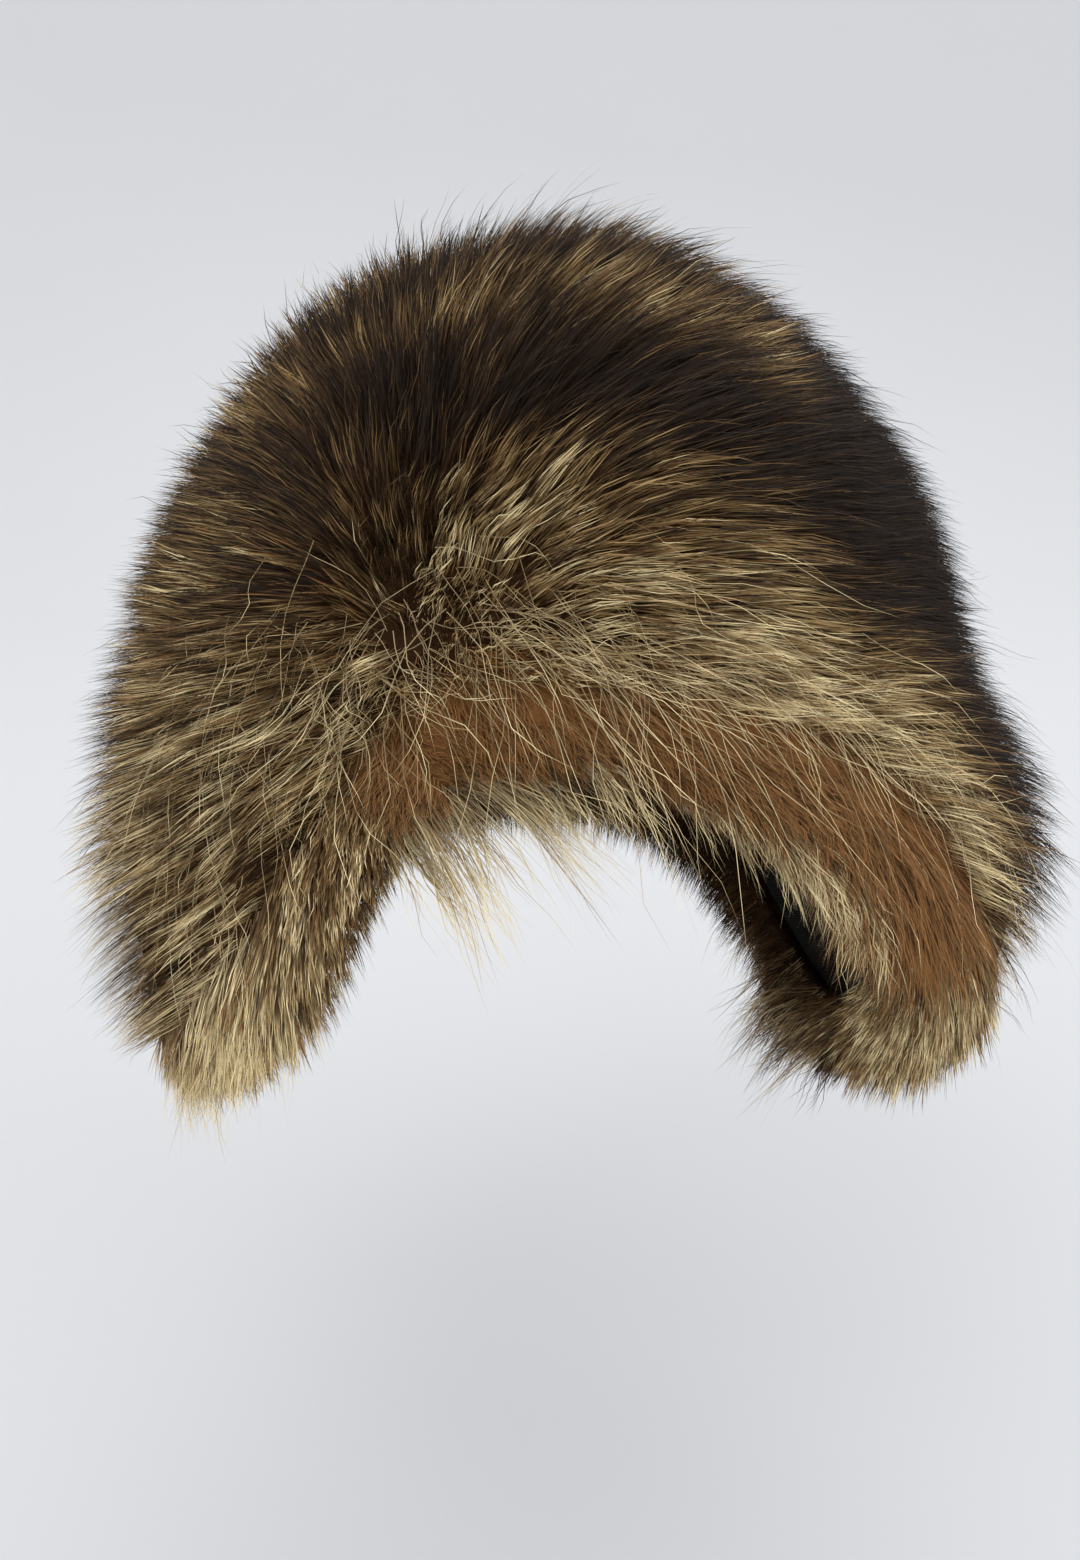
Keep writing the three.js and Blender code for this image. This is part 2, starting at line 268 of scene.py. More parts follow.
def ripple(points, wavelength, seed):
    """A smooth random value about 0 with spread 1: a sum of sine waves in random directions."""
    rng = np.random.default_rng(seed)
    way = unit(rng.normal(size=(7, 3))) * rng.uniform(0.7, 1.4, (7, 1)) * 2 * np.pi / wavelength
    return np.sin(points @ way.T + rng.uniform(0, 2 * np.pi, 7)).sum(axis=-1) / np.sqrt(3.5)


# The run of the hair

WHORL_HEADING = -27.0
WHORL_POLAR = 76.0
WHORL_REACH = 34.0
DROOP_FRONT = 0.3
DROOP_BACK = 1.1
COMB = 1.5
LEFT_HANG = 0.75
RIGHT_HANG = 0.9
RIM_RUN = 0.75
RIM_RUN_REACH = 10.0
SWAY_DEGREES = 10.0
SWAY_WAVELENGTH = 45.0
WHORL_SWAY = 26.0
WHORL_WAVELENGTH = 15.0


def whorl_point():
    """The place on the skin side that the hair runs away from."""
    return pelt_point(np.array(WHORL_HEADING), np.array(WHORL_POLAR))


def from_whorl(points):
    """How far points are from the whorl."""
    return np.linalg.norm(points - whorl_point(), axis=-1)


def flap_hang(heading, polar):
    """How far hair turns to hang straight down: more towards the lower edges of the flaps, and
    from higher up on the right one."""
    left = LEFT_HANG * smooth(heading_of(heading), 28, 62) * smooth(polar, 84, 124)
    right = RIGHT_HANG * smooth(-heading_of(heading), 18, 46) * smooth(polar, 76, 108)
    return left + right


def hair_run(feet, out, hang):
    """The way the hair lies on the skin side: away from the whorl, combed towards the left over
    the front of the crown, drooping more at the back, along the rim near the brow's bare edge,
    mixed with straight down by the share `hang`, and turned a little by a smooth random angle."""
    heading, polar = place_of(feet)
    away = flattened(feet - whorl_point(), out)
    back = (1 - np.cos(np.radians(heading))) / 2 * np.sin(np.radians(polar))
    away[..., 2] -= DROOP_FRONT + (DROOP_BACK - DROOP_FRONT) * back
    ahead = smooth(-feet[..., 1], -40, 40)
    away[..., 0] += COMB * smooth(feet[..., 0], -95, 25) * ahead
    away = flattened(away, out)
    near = (RIM_RUN * near_edge(heading, polar, RIM_RUN_REACH) * bare_share(heading))[..., None]
    beside = flattened(np.cross(past_rim(heading), out), out)
    beside = beside * np.sign(np.sum(beside * away, axis=-1, keepdims=True))
    away = flattened(away * (1 - near) + beside * near, out)
    hang = np.asarray(hang)[..., None]
    run = flattened(away * (1 - hang) + along_skin(DOWN, out) * hang, out)
    whorl = np.exp(-((from_whorl(feet) / WHORL_REACH) ** 2))
    turn = SWAY_DEGREES * ripple(feet, SWAY_WAVELENGTH, 5)
    turn = turn + WHORL_SWAY * ripple(feet, WHORL_WAVELENGTH, 6) * whorl
    turn = np.radians(turn)[..., None]
    return flattened(run * np.cos(turn) + np.cross(out, run) * np.sin(turn), out)


# How light the fur is

# Bands lie across the hat one behind the other. Places are in millimetres behind the centre.
BANDS = {
    "behind": [
        -135, -126, -120, -114, -107, -98, -91, -83, -75, -66, -56,
        -46, -36, -20, 4, 28, 55, 80, 104, 130, 160,
    ],
    "light": [
        0.54, 0.53, 0.52, 0.47, 0.36, 0.17, 0.06, 0.0, 0.03, 0.2, 0.4,
        0.38, 0.18, 0.06, 0.34, 0.08, 0.38, 0.1, 0.4, 0.22, 0.3,
    ],
}
BAND_BEND = 14.0
BAND_WAVE = 4.0
MOTTLE = 0.16

# The right side of the front has its own bands, one below the other.
RIGHT_BANDS = {
    "up": [-240, -215, -190, -168, -151, -135, -120, -106, -92, -77, -63, -49, -36, -20, 0],
    "light": [0.46, 0.58, 0.7, 0.7, 0.62, 0.54, 0.48, 0.46, 0.4, 0.26, 0.2, 0.26, 0.12, 0.33, 0.1],
}

# Patches that depart from the bands: each one's name, its middle, its reach, how light it is and
# how strongly it covers them.
PATCHES = [
    ("left temple", (84, -106, -96), 27, 0.62, 0.9),
    ("left flap front", (112, -99, -134), 28, 0.72, 0.95),
    ("left flap corner", (114, -102, -156), 18, 0.92, 1.0),
    ("left flap low", (118, -84, -200), 34, 0.64, 0.95),
    ("left flap under", (100, -44, -226), 46, 0.8, 1.0),
    ("left of crown", (52, -62, -6), 16, 0.24, 0.7),
    ("right of crown, tan", (-58, -85, -22), 13, 0.4, 0.8),
    ("right shoulder, tan", (-94, -40, -20), 12, 0.3, 0.8),
    ("right side, gold", (-116, -52, -68), 13, 0.54, 0.9),
    ("by the whorl", (-60, -110, -66), 22, 0.38, 0.9),
    ("right edge, dark", (-144, -20, -108), 22, 0.06, 0.9),
    ("right edge, low", (-154, -10, -145), 24, 0.08, 0.9),
    ("right of crown, black", (-52, -72, -6), 28, 0.03, 0.95),
    ("top right, tan", (-24, -101, -28), 13, 0.46, 0.7),
    ("front, tan", (17, -104, -27), 15, 0.36, 0.7),
    ("beside the whorl", (-30, -120, -62), 19, 0.8, 0.9),
    ("brow, pale", (47, -119, -80), 16, 0.78, 0.8),
    ("right cheek, dark", (-92, -110, -132), 11, 0.3, 0.8),
    ("right flap edge", (-136, -70, -176), 22, 0.1, 0.9),
]


def lightness(points):
    """How light the fur is, from 0 to 1: its bands, bent forward towards the right, with the
    right side's own bands over them and the left side black, then each patch laid over these by
    distance, and a fine smooth mottling."""
    wave = BAND_WAVE * ripple(points, 60, 31)
    bend = BAND_BEND * smooth(-points[..., 0], 25, 56) * smooth(-points[..., 1], 48, 66)
    bent = points[..., 1] - bend + wave
    light = read(BANDS, "behind", "light", bent)
    side = smooth(-points[..., 0], 60, 86) * smooth(-points[..., 1], -20, 40)
    light = light * (1 - side) + read(RIGHT_BANDS, "up", "light", points[..., 2] + wave) * side
    dark = smooth(points[..., 0], 50, 72) * smooth(bent, -99, -86) * smooth(-bent, -30, 10)
    light = light * (1 - dark)
    for _, middle, reach, patch_light, strength in PATCHES:
        far = np.linalg.norm(points - np.array(middle, float), axis=-1) / reach
        share = strength * np.exp(-(far**2))
        light = light * (1 - share) + patch_light * share
    return np.clip(light * (1 + MOTTLE * ripple(points, 16, 32)), 0, 1)


# Meshes

HAIR_MAP = "OFBake"
# The lightness attribute carries the underfur's tone, painted shade between the hairs included.
LIGHTNESS = "lightness"


def make_piece(name, points, triangles, uv=None, tone=None, closed=False):
    """A mesh object from arrays: points in millimetres, triangles as rows of three, and, where
    given, a map place and a lightness for each point. A closed piece is turned to face outwards
    where its volume, the sum of its triangles' boxes with the origin, comes out negative."""
    if closed:
        a, b, c = (points[triangles[:, k]] for k in range(3))
        if np.sum(a * np.cross(b, c)) < 0:
            triangles = triangles[:, ::-1]
    mesh = bpy.data.meshes.new(name)
    mesh.vertices.add(len(points))
    mesh.vertices.foreach_set("co", (points * MM).astype(np.float32).ravel())
    corners = np.ascontiguousarray(triangles, dtype=np.int32).ravel()
    mesh.loops.add(len(corners))
    mesh.loops.foreach_set("vertex_index", corners)
    mesh.polygons.add(len(triangles))
    mesh.polygons.foreach_set("loop_start", np.arange(0, len(corners), 3, dtype=np.int32))
    mesh.update(calc_edges=True)
    mesh.polygons.foreach_set("use_smooth", np.full(len(triangles), True))
    if uv is not None:
        layer = mesh.uv_layers.new(name=HAIR_MAP)
        layer.data.foreach_set("uv", uv[corners].astype(np.float32).ravel())
    if tone is not None:
        attribute = mesh.attributes.new(LIGHTNESS, "FLOAT", "POINT")
        attribute.data.foreach_set("value", tone.astype(np.float32))
    piece = bpy.data.objects.new(name, mesh)
    bpy.context.scene.collection.objects.link(piece)
    return piece


def finish_piece(piece, node, material):
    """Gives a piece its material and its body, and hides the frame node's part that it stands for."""
    piece.data.materials.append(material)
    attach(piece, "root")
    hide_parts(node)


def grid_triangles(rows, columns, wrap_rows=False, wrap_columns=False):
    """The triangles of a grid of points, row by row, closed round either way where asked."""
    r = np.arange(rows if wrap_rows else rows - 1)
    c = np.arange(columns if wrap_columns else columns - 1)
    r, c = (a.ravel() for a in np.meshgrid(r, c, indexing="ij"))
    next_r, next_c = (r + 1) % rows, (c + 1) % columns
    a, b = r * columns + c, next_r * columns + c
    d, e = r * columns + next_c, next_r * columns + next_c
    return np.concatenate([np.stack([a, b, d], 1), np.stack([d, b, e], 1)])


def fan(centre, ring):
    """Triangles from one point to each side of a ring of points."""
    return np.stack([np.full(len(ring), centre), ring, np.roll(ring, -1)], 1)


def walled_dome(sections):
    """A closed wall from section lines that go all the way round, each from the top down the
    outside and back up the inside, with a fan over each end of the lines."""
    rows, columns = sections.shape[:2]
    points = sections.reshape(-1, 3)
    sides = grid_triangles(rows, columns, wrap_rows=True)
    ring = np.arange(rows) * columns
    poles = np.stack([sections[:, 0].mean(0), sections[:, -1].mean(0)])
    first = fan(len(points), ring)[:, ::-1]
    last = fan(len(points) + 1, ring + columns - 1)
    return np.concatenate([points, poles]), np.concatenate([sides, first, last])


def rungs(ring):
    """Triangles that fill a thin closed ring of an even number of points, from its one side
    across to its other."""
    half = len(ring) // 2
    one, other = ring[:half], ring[::-1][:half]
    lower = np.stack([one[:-1], one[1:], other[1:]], 1)
    upper = np.stack([one[:-1], other[1:], other[:-1]], 1)
    return np.concatenate([lower, upper])


def capped_loft(sections):
    """A closed loft through thin section lines that each close on themselves, with rungs over
    both ends, so that an end follows its section's bend."""
    rows, columns = sections.shape[:2]
    ring = np.arange(columns)
    first = rungs(ring)
    last = rungs(ring + (rows - 1) * columns)[:, ::-1]
    sides = grid_triangles(rows, columns, wrap_columns=True)
    return sections.reshape(-1, 3), np.concatenate([sides, first, last])


# Shader maths


class Wire:
    """A shader socket that arithmetic signs work on: each sign adds a Math node."""

    def __init__(self, shader, socket):
        self.shader = shader
        self.socket = socket

    def math(self, operation, *values):
        return self.shader.node("ShaderNodeMath", {"operation": operation}, *values)

    def __add__(self, other):
        return self.math("ADD", self, other)

    __radd__ = __add__

    def __mul__(self, other):
        return self.math("MULTIPLY", self, other)

    __rmul__ = __mul__

    def __sub__(self, other):
        return self.math("SUBTRACT", self, other)

    def __rsub__(self, other):
        return self.math("SUBTRACT", other, self)


class Shader:
    """A material whose nodes come from one method, around its Principled surface."""

    def __init__(self, name, constants):
        self.material = bpy.data.materials.new(name)
        self.material.use_nodes = True
        self.nodes = self.material.node_tree.nodes
        self.links = self.material.node_tree.links
        self.surface = next(n for n in self.nodes if n.type == "BSDF_PRINCIPLED")
        for socket, value in constants.items():
            self.surface.inputs[socket].default_value = value

    def node(self, kind, settings, *values, output=0):
        """A node of a type: its settings first, then its sockets' values or links, in order or
        as a dictionary by socket."""
        made = self.nodes.new(kind)
        for key, value in settings.items():
            if key == "stops":
                self.set_stops(made, value)
            else:
                setattr(made, key, value)
        by_name = values and isinstance(values[0], dict)
        for key, value in values[0].items() if by_name else enumerate(values):
            if isinstance(value, Wire):
                self.links.new(value.socket, made.inputs[key])
            else:
                made.inputs[key].default_value = value
        return Wire(self, made.outputs[output])

    @staticmethod
    def set_stops(ramp, stops):
        """Puts places and colours into a colour ramp."""
        elements = ramp.color_ramp.elements
        elements.remove(elements[-1])
        elements[0].position = stops[0][0]
        elements[0].color = (*stops[0][1], 1)
        for place, colour in stops[1:]:
            elements.new(place).color = (*colour, 1)

    def ramp(self, value, stops):
        return self.node("ShaderNodeValToRGB", {"stops": stops}, value)

    def mix(self, share, one, other):
        """One colour turned into another by a share from 0 to 1."""
        one, other = (c if isinstance(c, Wire) else (*c, 1) for c in (one, other))
        return self.node("ShaderNodeMix", {"data_type": "RGBA"}, {0: share, 6: one, 7: other}, output=2)

    def smooth(self, value, low, high):
        """A share that goes smoothly from 0 at one value to 1 at another."""
        settings = {"interpolation_type": "SMOOTHSTEP"}
        return self.node("ShaderNodeMapRange", settings, value, low, high, 0.0, 1.0)

    def object_place(self):
        return self.node("ShaderNodeTexCoord", {}, output="Object")

    def noise(self, scale, detail=4.0, roughness=0.6):
        """Noise on the object's own coordinates, about 0.5."""
        inputs = {"Vector": self.object_place(), "Scale": scale}
        inputs.update({"Detail": detail, "Roughness": roughness})
        return self.node("ShaderNodeTexNoise", {}, inputs)

    def feed(self, socket, wire):
        self.links.new(wire.socket, self.surface.inputs[socket])

    def bump(self, height, strength, distance):
        inputs = {"Strength": strength, "Distance": distance, "Height": height}
        self.feed("Normal", self.node("ShaderNodeBump", {}, inputs))


def screen(red, green, blue):
    """A screen colour from 0 to 255 as the shader's linear colour."""
    share = np.array([red, green, blue]) / 255
    curve = ((share + 0.055) / 1.055) ** 2.4
    return tuple(float(v) for v in np.where(share <= 0.04045, share / 12.92, curve))


def blend(one, other, share):
    """A colour part of the way to another."""
    return tuple(a * (1 - share) + b * share for a, b in zip(one, other))


# Finishes

# A strand's first map coordinate is its tone: dark to cream, then the rust of the underfur.
DARKEST = 0.02
LIGHTEST = 0.8
RUST_FROM = 0.86
RUST_TO = 0.98
HALF_MAP_WIDTH = 0.002

# Where each hair colour stands in the tones, how dark its roots are, and how dark its tips are.
TONES = [
    {"tone": 0.0, "colour": "black", "root": 0.2, "tip": 0.3},
    {"tone": 0.2, "colour": "brown", "root": 0.5, "tip": 0.7},
    {"tone": 0.42, "colour": "tan", "root": 0.75, "tip": 0.82},
    {"tone": 0.6, "colour": "gold", "root": 0.75, "tip": 0.62},
    {"tone": 0.8, "colour": "cream", "root": 0.6, "tip": 0.1},
    {"tone": 0.84, "colour": "rust", "root": 0.3, "tip": 0.0},
    {"tone": 1.0, "colour": "amber", "root": 0.3, "tip": 0.0},
]


def hair_material(colours):
    """Hair banded from root to tip: roots that tend to umber, a band in the strand's own tone,
    and tips that darken again on all but the cream and rust hairs. Ramps over the tone give the
    three colours, and the place along the strand turns one into the next."""
    shader = Shader("banded_hair", {"Roughness": 0.58, "Specular IOR Level": 0.12})
    uv = shader.node("ShaderNodeUVMap", {"uv_map": HAIR_MAP})
    tone = shader.node("ShaderNodeSeparateXYZ", {}, uv)
    along = Wire(shader, tone.socket.node.outputs[1])
    dark = tuple(colours.black)
    own = {row["tone"]: tuple(getattr(colours, row["colour"])) for row in TONES}
    umber = blend(dark, tuple(colours.rust), 0.4)
    root = shader.ramp(tone, [(r["tone"], blend(own[r["tone"]], umber, r["root"])) for r in TONES])
    band = shader.ramp(tone, list(own.items()))
    tip = shader.ramp(tone, [(r["tone"], blend(own[r["tone"]], dark, r["tip"])) for r in TONES])
    lower = shader.mix(shader.smooth(along, 0.5, 0.68), root, band)
    shader.feed("Base Color", shader.mix(shader.smooth(along, 0.82, 0.96), lower, tip))
    return shader.material


def underfur_material(colours):
    """Soft underfur between the hairs: dark to rust by the piece's own lightness, mottled. Its dark end
    is partly painted shade, the darkness deep between the hairs, and its rust is the underfur's own
    colour.
    """
    shader = Shader("underfur_and_painted_shade", {"Roughness": 0.95, "Specular IOR Level": 0.05})
    light = shader.node("ShaderNodeAttribute", {"attribute_name": LIGHTNESS}, output="Fac")
    mottle = shader.noise(420.0, 3.0)
    dark, rust = tuple(colours.black), tuple(colours.rust)
    # The darkest stops are partly painted shade between the hairs; the rust stops are the real underfur
    # colour.
    stops = [(0.0, dark), (0.5, blend(dark, rust, 0.25)), (0.8, blend(dark, rust, 0.6)), (1.0, rust)]
    shader.feed("Base Color", shader.ramp(light + (mottle - 0.5) * 0.4, stops))
    shader.bump(mottle, 0.9, 0.002)
    return shader.material


def cloth_material(look):
    """Near-black lining cloth: a fine diagonal weave over slow uneven wear."""
    shader = Shader("lining_cloth", {"Roughness": 0.82, "Specular IOR Level": 0.2, "Sheen Weight": 0.15})
    weave = {"wave_type": "BANDS", "bands_direction": "DIAGONAL"}
    inputs = {"Vector": shader.object_place(), "Scale": look.weave_scale, "Distortion": 1.5}
    thread = shader.node("ShaderNodeTexWave", weave, inputs)
    worn = shader.mix(shader.noise(30.0), tuple(look.dark), tuple(look.light))
    shader.feed("Base Color", shader.mix(thread * 0.35, worn, tuple(look.thread)))
    shader.bump(thread, 0.3, 0.0005)
    return shader.material


def stage_material(look):
    """Pale paper with a barely seen unevenness."""
    shader = Shader("pale_paper", {"Roughness": 0.9, "Specular IOR Level": 0.1})
    colour = tuple(look.paper)
    uneven = blend(colour, (1.0, 1.0, 1.0), 0.04)
    shader.feed("Base Color", shader.mix(shader.noise(3.0, 2.0), colour, uneven))
    return shader.material


# Tufts of hair

STATIONS = 6
TONE_STATION = 4
BELOW_SEAM = 170.0

# The skin side's usual distance from the centre, for the spacing of tufts and of their rings.
RING_STEP_RADIUS = 122.0
RING_RADIUS = 124.0
LAST_RING = 150
WALK_CURVE = 1.25
RISE_CURVE = 0.8
GATHER_BATCH = 1500


class Tufts:
    """Tufts of hair as arrays: middle lines with the ways across and out of them at each
    station, a tone, a share of rust hairs and the frame node they grow on."""

    def __init__(self, middle, side, out, tone, rust, node):
        self.middle, self.side, self.out = middle, side, out
        self.tone, self.rust, self.node = tone, rust, node

    def where(self, keep):
        arrays = (self.middle, self.side, self.out, self.tone, self.rust, self.node)
        return Tufts(*(a[keep] for a in arrays))


def node_at(heading, polar=BELOW_SEAM):
    """The frame node that fur belongs to, by where it grows, and below the crown as it stands."""
    side = heading_of(heading)
    ear = np.where(side > 0, "ear_flap_left_fur", "ear_flap_right_fur")
    low = np.where(np.abs(side) < BROW_SIDE, "brow_fur", ear)
    low = np.where(np.abs(side) > NAPE_SIDE, "nape_flap_fur", low)
    return np.where(polar < seam_polar(heading), "crown_fur", low)


def scattered(spacing, rng, past=0.0):
    """Headings and polar angles spread evenly with jitter in rings from the top to where the
    long coat ends, or past it by some degrees."""
    step = np.degrees(spacing / RING_STEP_RADIUS)
    rings = np.arange(step / 2, LAST_RING, step)
    girth = 2 * np.pi * RING_RADIUS * np.sin(np.radians(rings))
    counts = np.maximum(3, (girth / spacing).astype(int))
    ring = np.repeat(np.arange(len(rings)), counts)
    place = np.arange(len(ring)) - np.repeat(np.cumsum(counts) - counts, counts)
    heading = -180 + 360 * (place + rng.uniform(0, 1, len(ring))) / counts[ring]
    polar = rings[ring] + rng.uniform(-0.5, 0.5, len(ring)) * step
    keep = polar < coat_edge(heading) + past
    return heading[keep], polar[keep]


def along_rim(spacing, rng):
    """Headings spread evenly with jitter by the length of the rim's own line."""
    dense = np.linspace(-180, 180, 2881)
    line = pelt_point(dense, rim_polar(dense))
    run = np.concatenate([[0], np.cumsum(np.linalg.norm(np.diff(line, axis=0), axis=1))])
    count = int(run[-1] / spacing)
    return np.interp((np.arange(count) + rng.uniform(0, 1, count)) / count * run[-1], run, dense)


def lying_lines(heading, polar, walk, low, high, hang):
    """Middle lines of tufts that lean along the hair's run. The foot of each line walks over the
    skin side by a growing step, and its height over the skin rises from a low to a high share of
    the fur's depth by a root curve, so a tuft stands up first and leans over at its tip."""
    share = np.linspace(0, 1, STATIONS)
    walked = share**WALK_CURVE
    middle, side, ways = [], [], []
    out = outward(heading, polar)
    foot = pelt_point(heading, polar)
    for station in range(STATIONS):
        run = hair_run(foot, out, hang)
        depth = read_round(DEPTH, *place_of(foot))
        height = depth * (low + (high - low) * share[station] ** RISE_CURVE)
        middle.append(foot + out * height[..., None])
        side.append(np.cross(run, out))
        ways.append(out)
        if station < STATIONS - 1:
            step = walk * (walked[station + 1] - walked[station])
            place = place_of(foot + run * step[..., None])
            foot, out = pelt_point(*place), outward(*place)
    return np.stack(middle, 1), np.stack(side, 1), np.stack(ways, 1)


def hanging_lines(root, way, normal, length, fall):
    """Middle lines of free hair: from a root along a way for a length, falling by a share of the
    length with the square of the distance."""
    t = np.linspace(0, 1, STATIONS)[None, :, None]
    reach = length[:, None, None]
    middle = root[:, None] + way[:, None] * t * reach + DOWN * fall[:, None, None] * reach * t**2
    side = flattened(np.cross(way, normal), way)
    return middle, np.repeat(side[:, None], STATIONS, 1), np.repeat(normal[:, None], STATIONS, 1)


def gather_into_locks(lines, locks, share):
    """Draws each tuft towards the nearest big lock, more and more from foot to tip, and gives
    the number of the lock that it joined."""
    feet, to = lines[0][:, 0], locks[0][:, 0]
    batches = np.array_split(np.arange(len(feet)), max(1, len(feet) // GATHER_BATCH))
    far = [((feet[b][:, None] - to[None]) ** 2).sum(-1) for b in batches]
    owner = np.concatenate([np.argmin(f, axis=1) for f in far])
    pull = share * np.linspace(0, 1, STATIONS)[None, :, None] ** 3
    return (lines[0] + (locks[0][owner] - lines[0]) * pull, lines[1], lines[2]), owner


# How far the coat lies along the skin, as shares of its length, and what it has less of.
LEAN = 0.3
LEAN_LEFT = 0.24
LEAN_BACK = 0.12
LEAST_AT_WHORL = 0.6
LESS_AT_EDGE = 0.55
EDGE_REACH = 8.0


def coat_walk(heading, polar, length, rng):
    """How far tufts lean along the skin: further where the coat lies flat over the left of the
    brow, less on the plush right side, hardly at the whorl, and less by the coat's lower edge."""
    feet = pelt_point(heading, polar)
    flat = LEAN + LEAN_LEFT * smooth(feet[..., 0], -60, 30)
    flat = flat + LEAN_BACK * smooth(turned(heading), 70, 140)
    far = np.clip(from_whorl(feet) / WHORL_REACH, LEAST_AT_WHORL, 1)
    walk = length * flat * far * (1 - LESS_AT_EDGE * near_edge(heading, polar, EDGE_REACH))
    return walk * rng.uniform(0.85, 1.15, len(heading))


# Where the hair stands higher or lower than the fur's depth: each place's name, its heading and
# how wide it is, its polar angle and how tall it is, and the share of the depth that it adds.
FRINGES = [
    ("left shoulder", 78, 26, 60, 14, 0.14),
    ("above the left fringe", 82, 28, 93, 8, -0.12),
    ("left fringe", 82, 28, 112, 9, 0.2),
    ("left flap low", 74, 32, 131, 12, -0.28),
    ("right edge", -80, 28, 82, 22, 0.14),
    ("right fringe", -68, 16, 119, 12, 0.2),
    ("right of the top", -90, 45, 20, 12, -0.06),
]


def fringe_share(heading, polar):
    """The share of the fur's depth that the fringes add, by the distance from each one's middle."""
    total = np.zeros(np.shape(heading))
    for _, middle, wide, down, tall, share in FRINGES:
        across = (heading_of(heading - middle) / wide) ** 4
        total = total + share * np.exp(-across - ((polar - down) / tall) ** 2)
    return total


# From where to where in the fur's depth tufts and locks rise, how much their tones vary, and how
# rusty the lightest are.
TUFT_FEET = (0.1, 0.35)
TUFT_TIPS = (0.84, 1.1)
LOCK_FOOT = 0.25
LOCK_TIPS = (0.95, 1.15)
LOCK_REACH = 1.1
LOCK_NOISE = 0.05
TUFT_NOISE = 0.15
COAT_RUST = 0.04


def grow_coat(sizes, rng):
    """The banded coat: tufts all over down to the coat's edge, gathered into locks."""
    heading, polar = scattered(sizes.tuft_spacing / MM, rng)
    hair = sizes.hair_length / MM
    low = rng.uniform(*TUFT_FEET, len(heading))
    high = rng.uniform(*TUFT_TIPS, len(heading)) * (1 + fringe_share(heading, polar))
    walk = coat_walk(heading, polar, hair, rng)
    lines = lying_lines(heading, polar, walk, low, high, flap_hang(heading, polar))
    at, down = scattered(sizes.lock_spacing / MM, rng)
    walk = coat_walk(at, down, LOCK_REACH * hair, rng)
    high = rng.uniform(*LOCK_TIPS, len(at)) * (1 + fringe_share(at, down))
    locks = lying_lines(at, down, walk, np.full(len(at), LOCK_FOOT), high, flap_hang(at, down))
    lines, owner = gather_into_locks(lines, locks, sizes.lock_gather)
    light = lightness(lines[0][:, TONE_STATION])
    noise = rng.normal(0, LOCK_NOISE, len(at))[owner] + rng.normal(0, TUFT_NOISE, len(heading))
    noise = noise * (1 + 0.8 * smooth(-lines[0][:, 0, 0], 60, 100))
    tone = light + noise * (0.25 + 1.5 * light)
    return Tufts(*lines, tone, COAT_RUST * light, node_at(heading, polar))


# The hair round the turn under the rim: the girth it covers, the last angle it grows at, how deep
# its roots lie, how far they stray and how it hangs, falls and varies.
TURN_GIRTH = 56.0
TURN_LAST = 160.0
TURN_ROOTS = 0.92
TURN_STRAY = 9
TURN_HANG = 0.35
TURN_FALL = 0.3
TURN_NOISE = 0.14


def grow_turn(sizes, rng):
    """The tufts round the turn under the rim: short, leaving along the turn's normal, bent to the
    hair's run and to the ground, and cream under the left of the brow."""
    spacing = sizes.tuft_spacing / MM
    around = int(TURN_GIRTH / spacing)
    heading = along_rim(spacing, rng)
    turn = np.repeat(np.linspace(0, TURN_LAST, around), len(heading))
    heading = np.tile(heading, around)
    turn = turn + rng.uniform(-TURN_STRAY, TURN_STRAY, len(turn))
    low = turn / TURN_LAST
    root, normal, out = turn_frame(heading, turn, TURN_ROOTS * TURN_SHARE)
    hang = np.maximum(flap_hang(heading, rim_polar(heading)), TURN_HANG)
    run = hair_run(pelt_point(heading, rim_polar(heading)), out, hang)
    lean = np.clip(0.3 + 0.3 * low + rng.normal(0, 0.08, len(heading)), 0, 1)[:, None]
    way = unit(normal * lean + run * (1 - lean))
    length = sizes.turn_length / MM * rng.uniform(0.75, 1.2, len(heading)) * (1.2 - 0.45 * low)
    bare = belt_share(heading)
    left = np.exp(-(((heading - 30) / 20) ** 4))
    cream = left * smooth(low, 0.38, 0.62)
    brow = smooth(-turned(heading), -48, -32)
    ear = smooth(turned(heading), 46, 62) * smooth(-turned(heading), -124, -108)
    length = length * (1 - 0.66 * brow - 0.2 * ear) * (1 - 0.15 * bare + 0.5 * left)
    lines = hanging_lines(root, way, normal, length, np.full(len(heading), TURN_FALL))
    light = lightness(lines[0][:, TONE_STATION])
    noise = rng.normal(0, TURN_NOISE, len(heading))
    tone = light * (1 - 0.15 * low) * (1 - 0.45 * bare) + noise * (0.3 + light)
    pale = rng.uniform(0, 1, len(heading)) < 0.6 * cream
    tone = np.where(pale, rng.uniform(0.62, 0.84, len(heading)), tone)
    rust = 0.04 + (0.85 * bare + 0.1 * (1 - bare) * low) * (1 - 0.8 * pale)
    return Tufts(*lines, tone, rust, node_at(heading)), bare


def grow_bare_rim(sizes, rng):
    """Short soft rust hair on the outside between the long coat's edge and the rim."""
    heading, polar = scattered(0.8 * sizes.tuft_spacing / MM, rng, past=14.0)
    bare = read_side(BARE_RIM, heading)
    keep = (bare > 1) & (polar > coat_edge(heading) - 6) & (polar < rim_polar(heading) + 1)
    heading, polar = heading[keep], polar[keep]
    walk = rng.uniform(7, 12, len(heading))
    low, high = rng.uniform(0.3, 0.5, len(heading)), rng.uniform(0.66, 0.8, len(heading))
    lines = lying_lines(heading, polar, walk, low, high, np.full(len(heading), 0.45))
    belt = belt_share(heading)
    tone = rng.uniform(0.2, 0.5, len(heading)) * belt + lightness(lines[0][:, -1]) * (1 - belt)
    return Tufts(*lines, tone, 0.85 * belt, node_at(heading, polar))


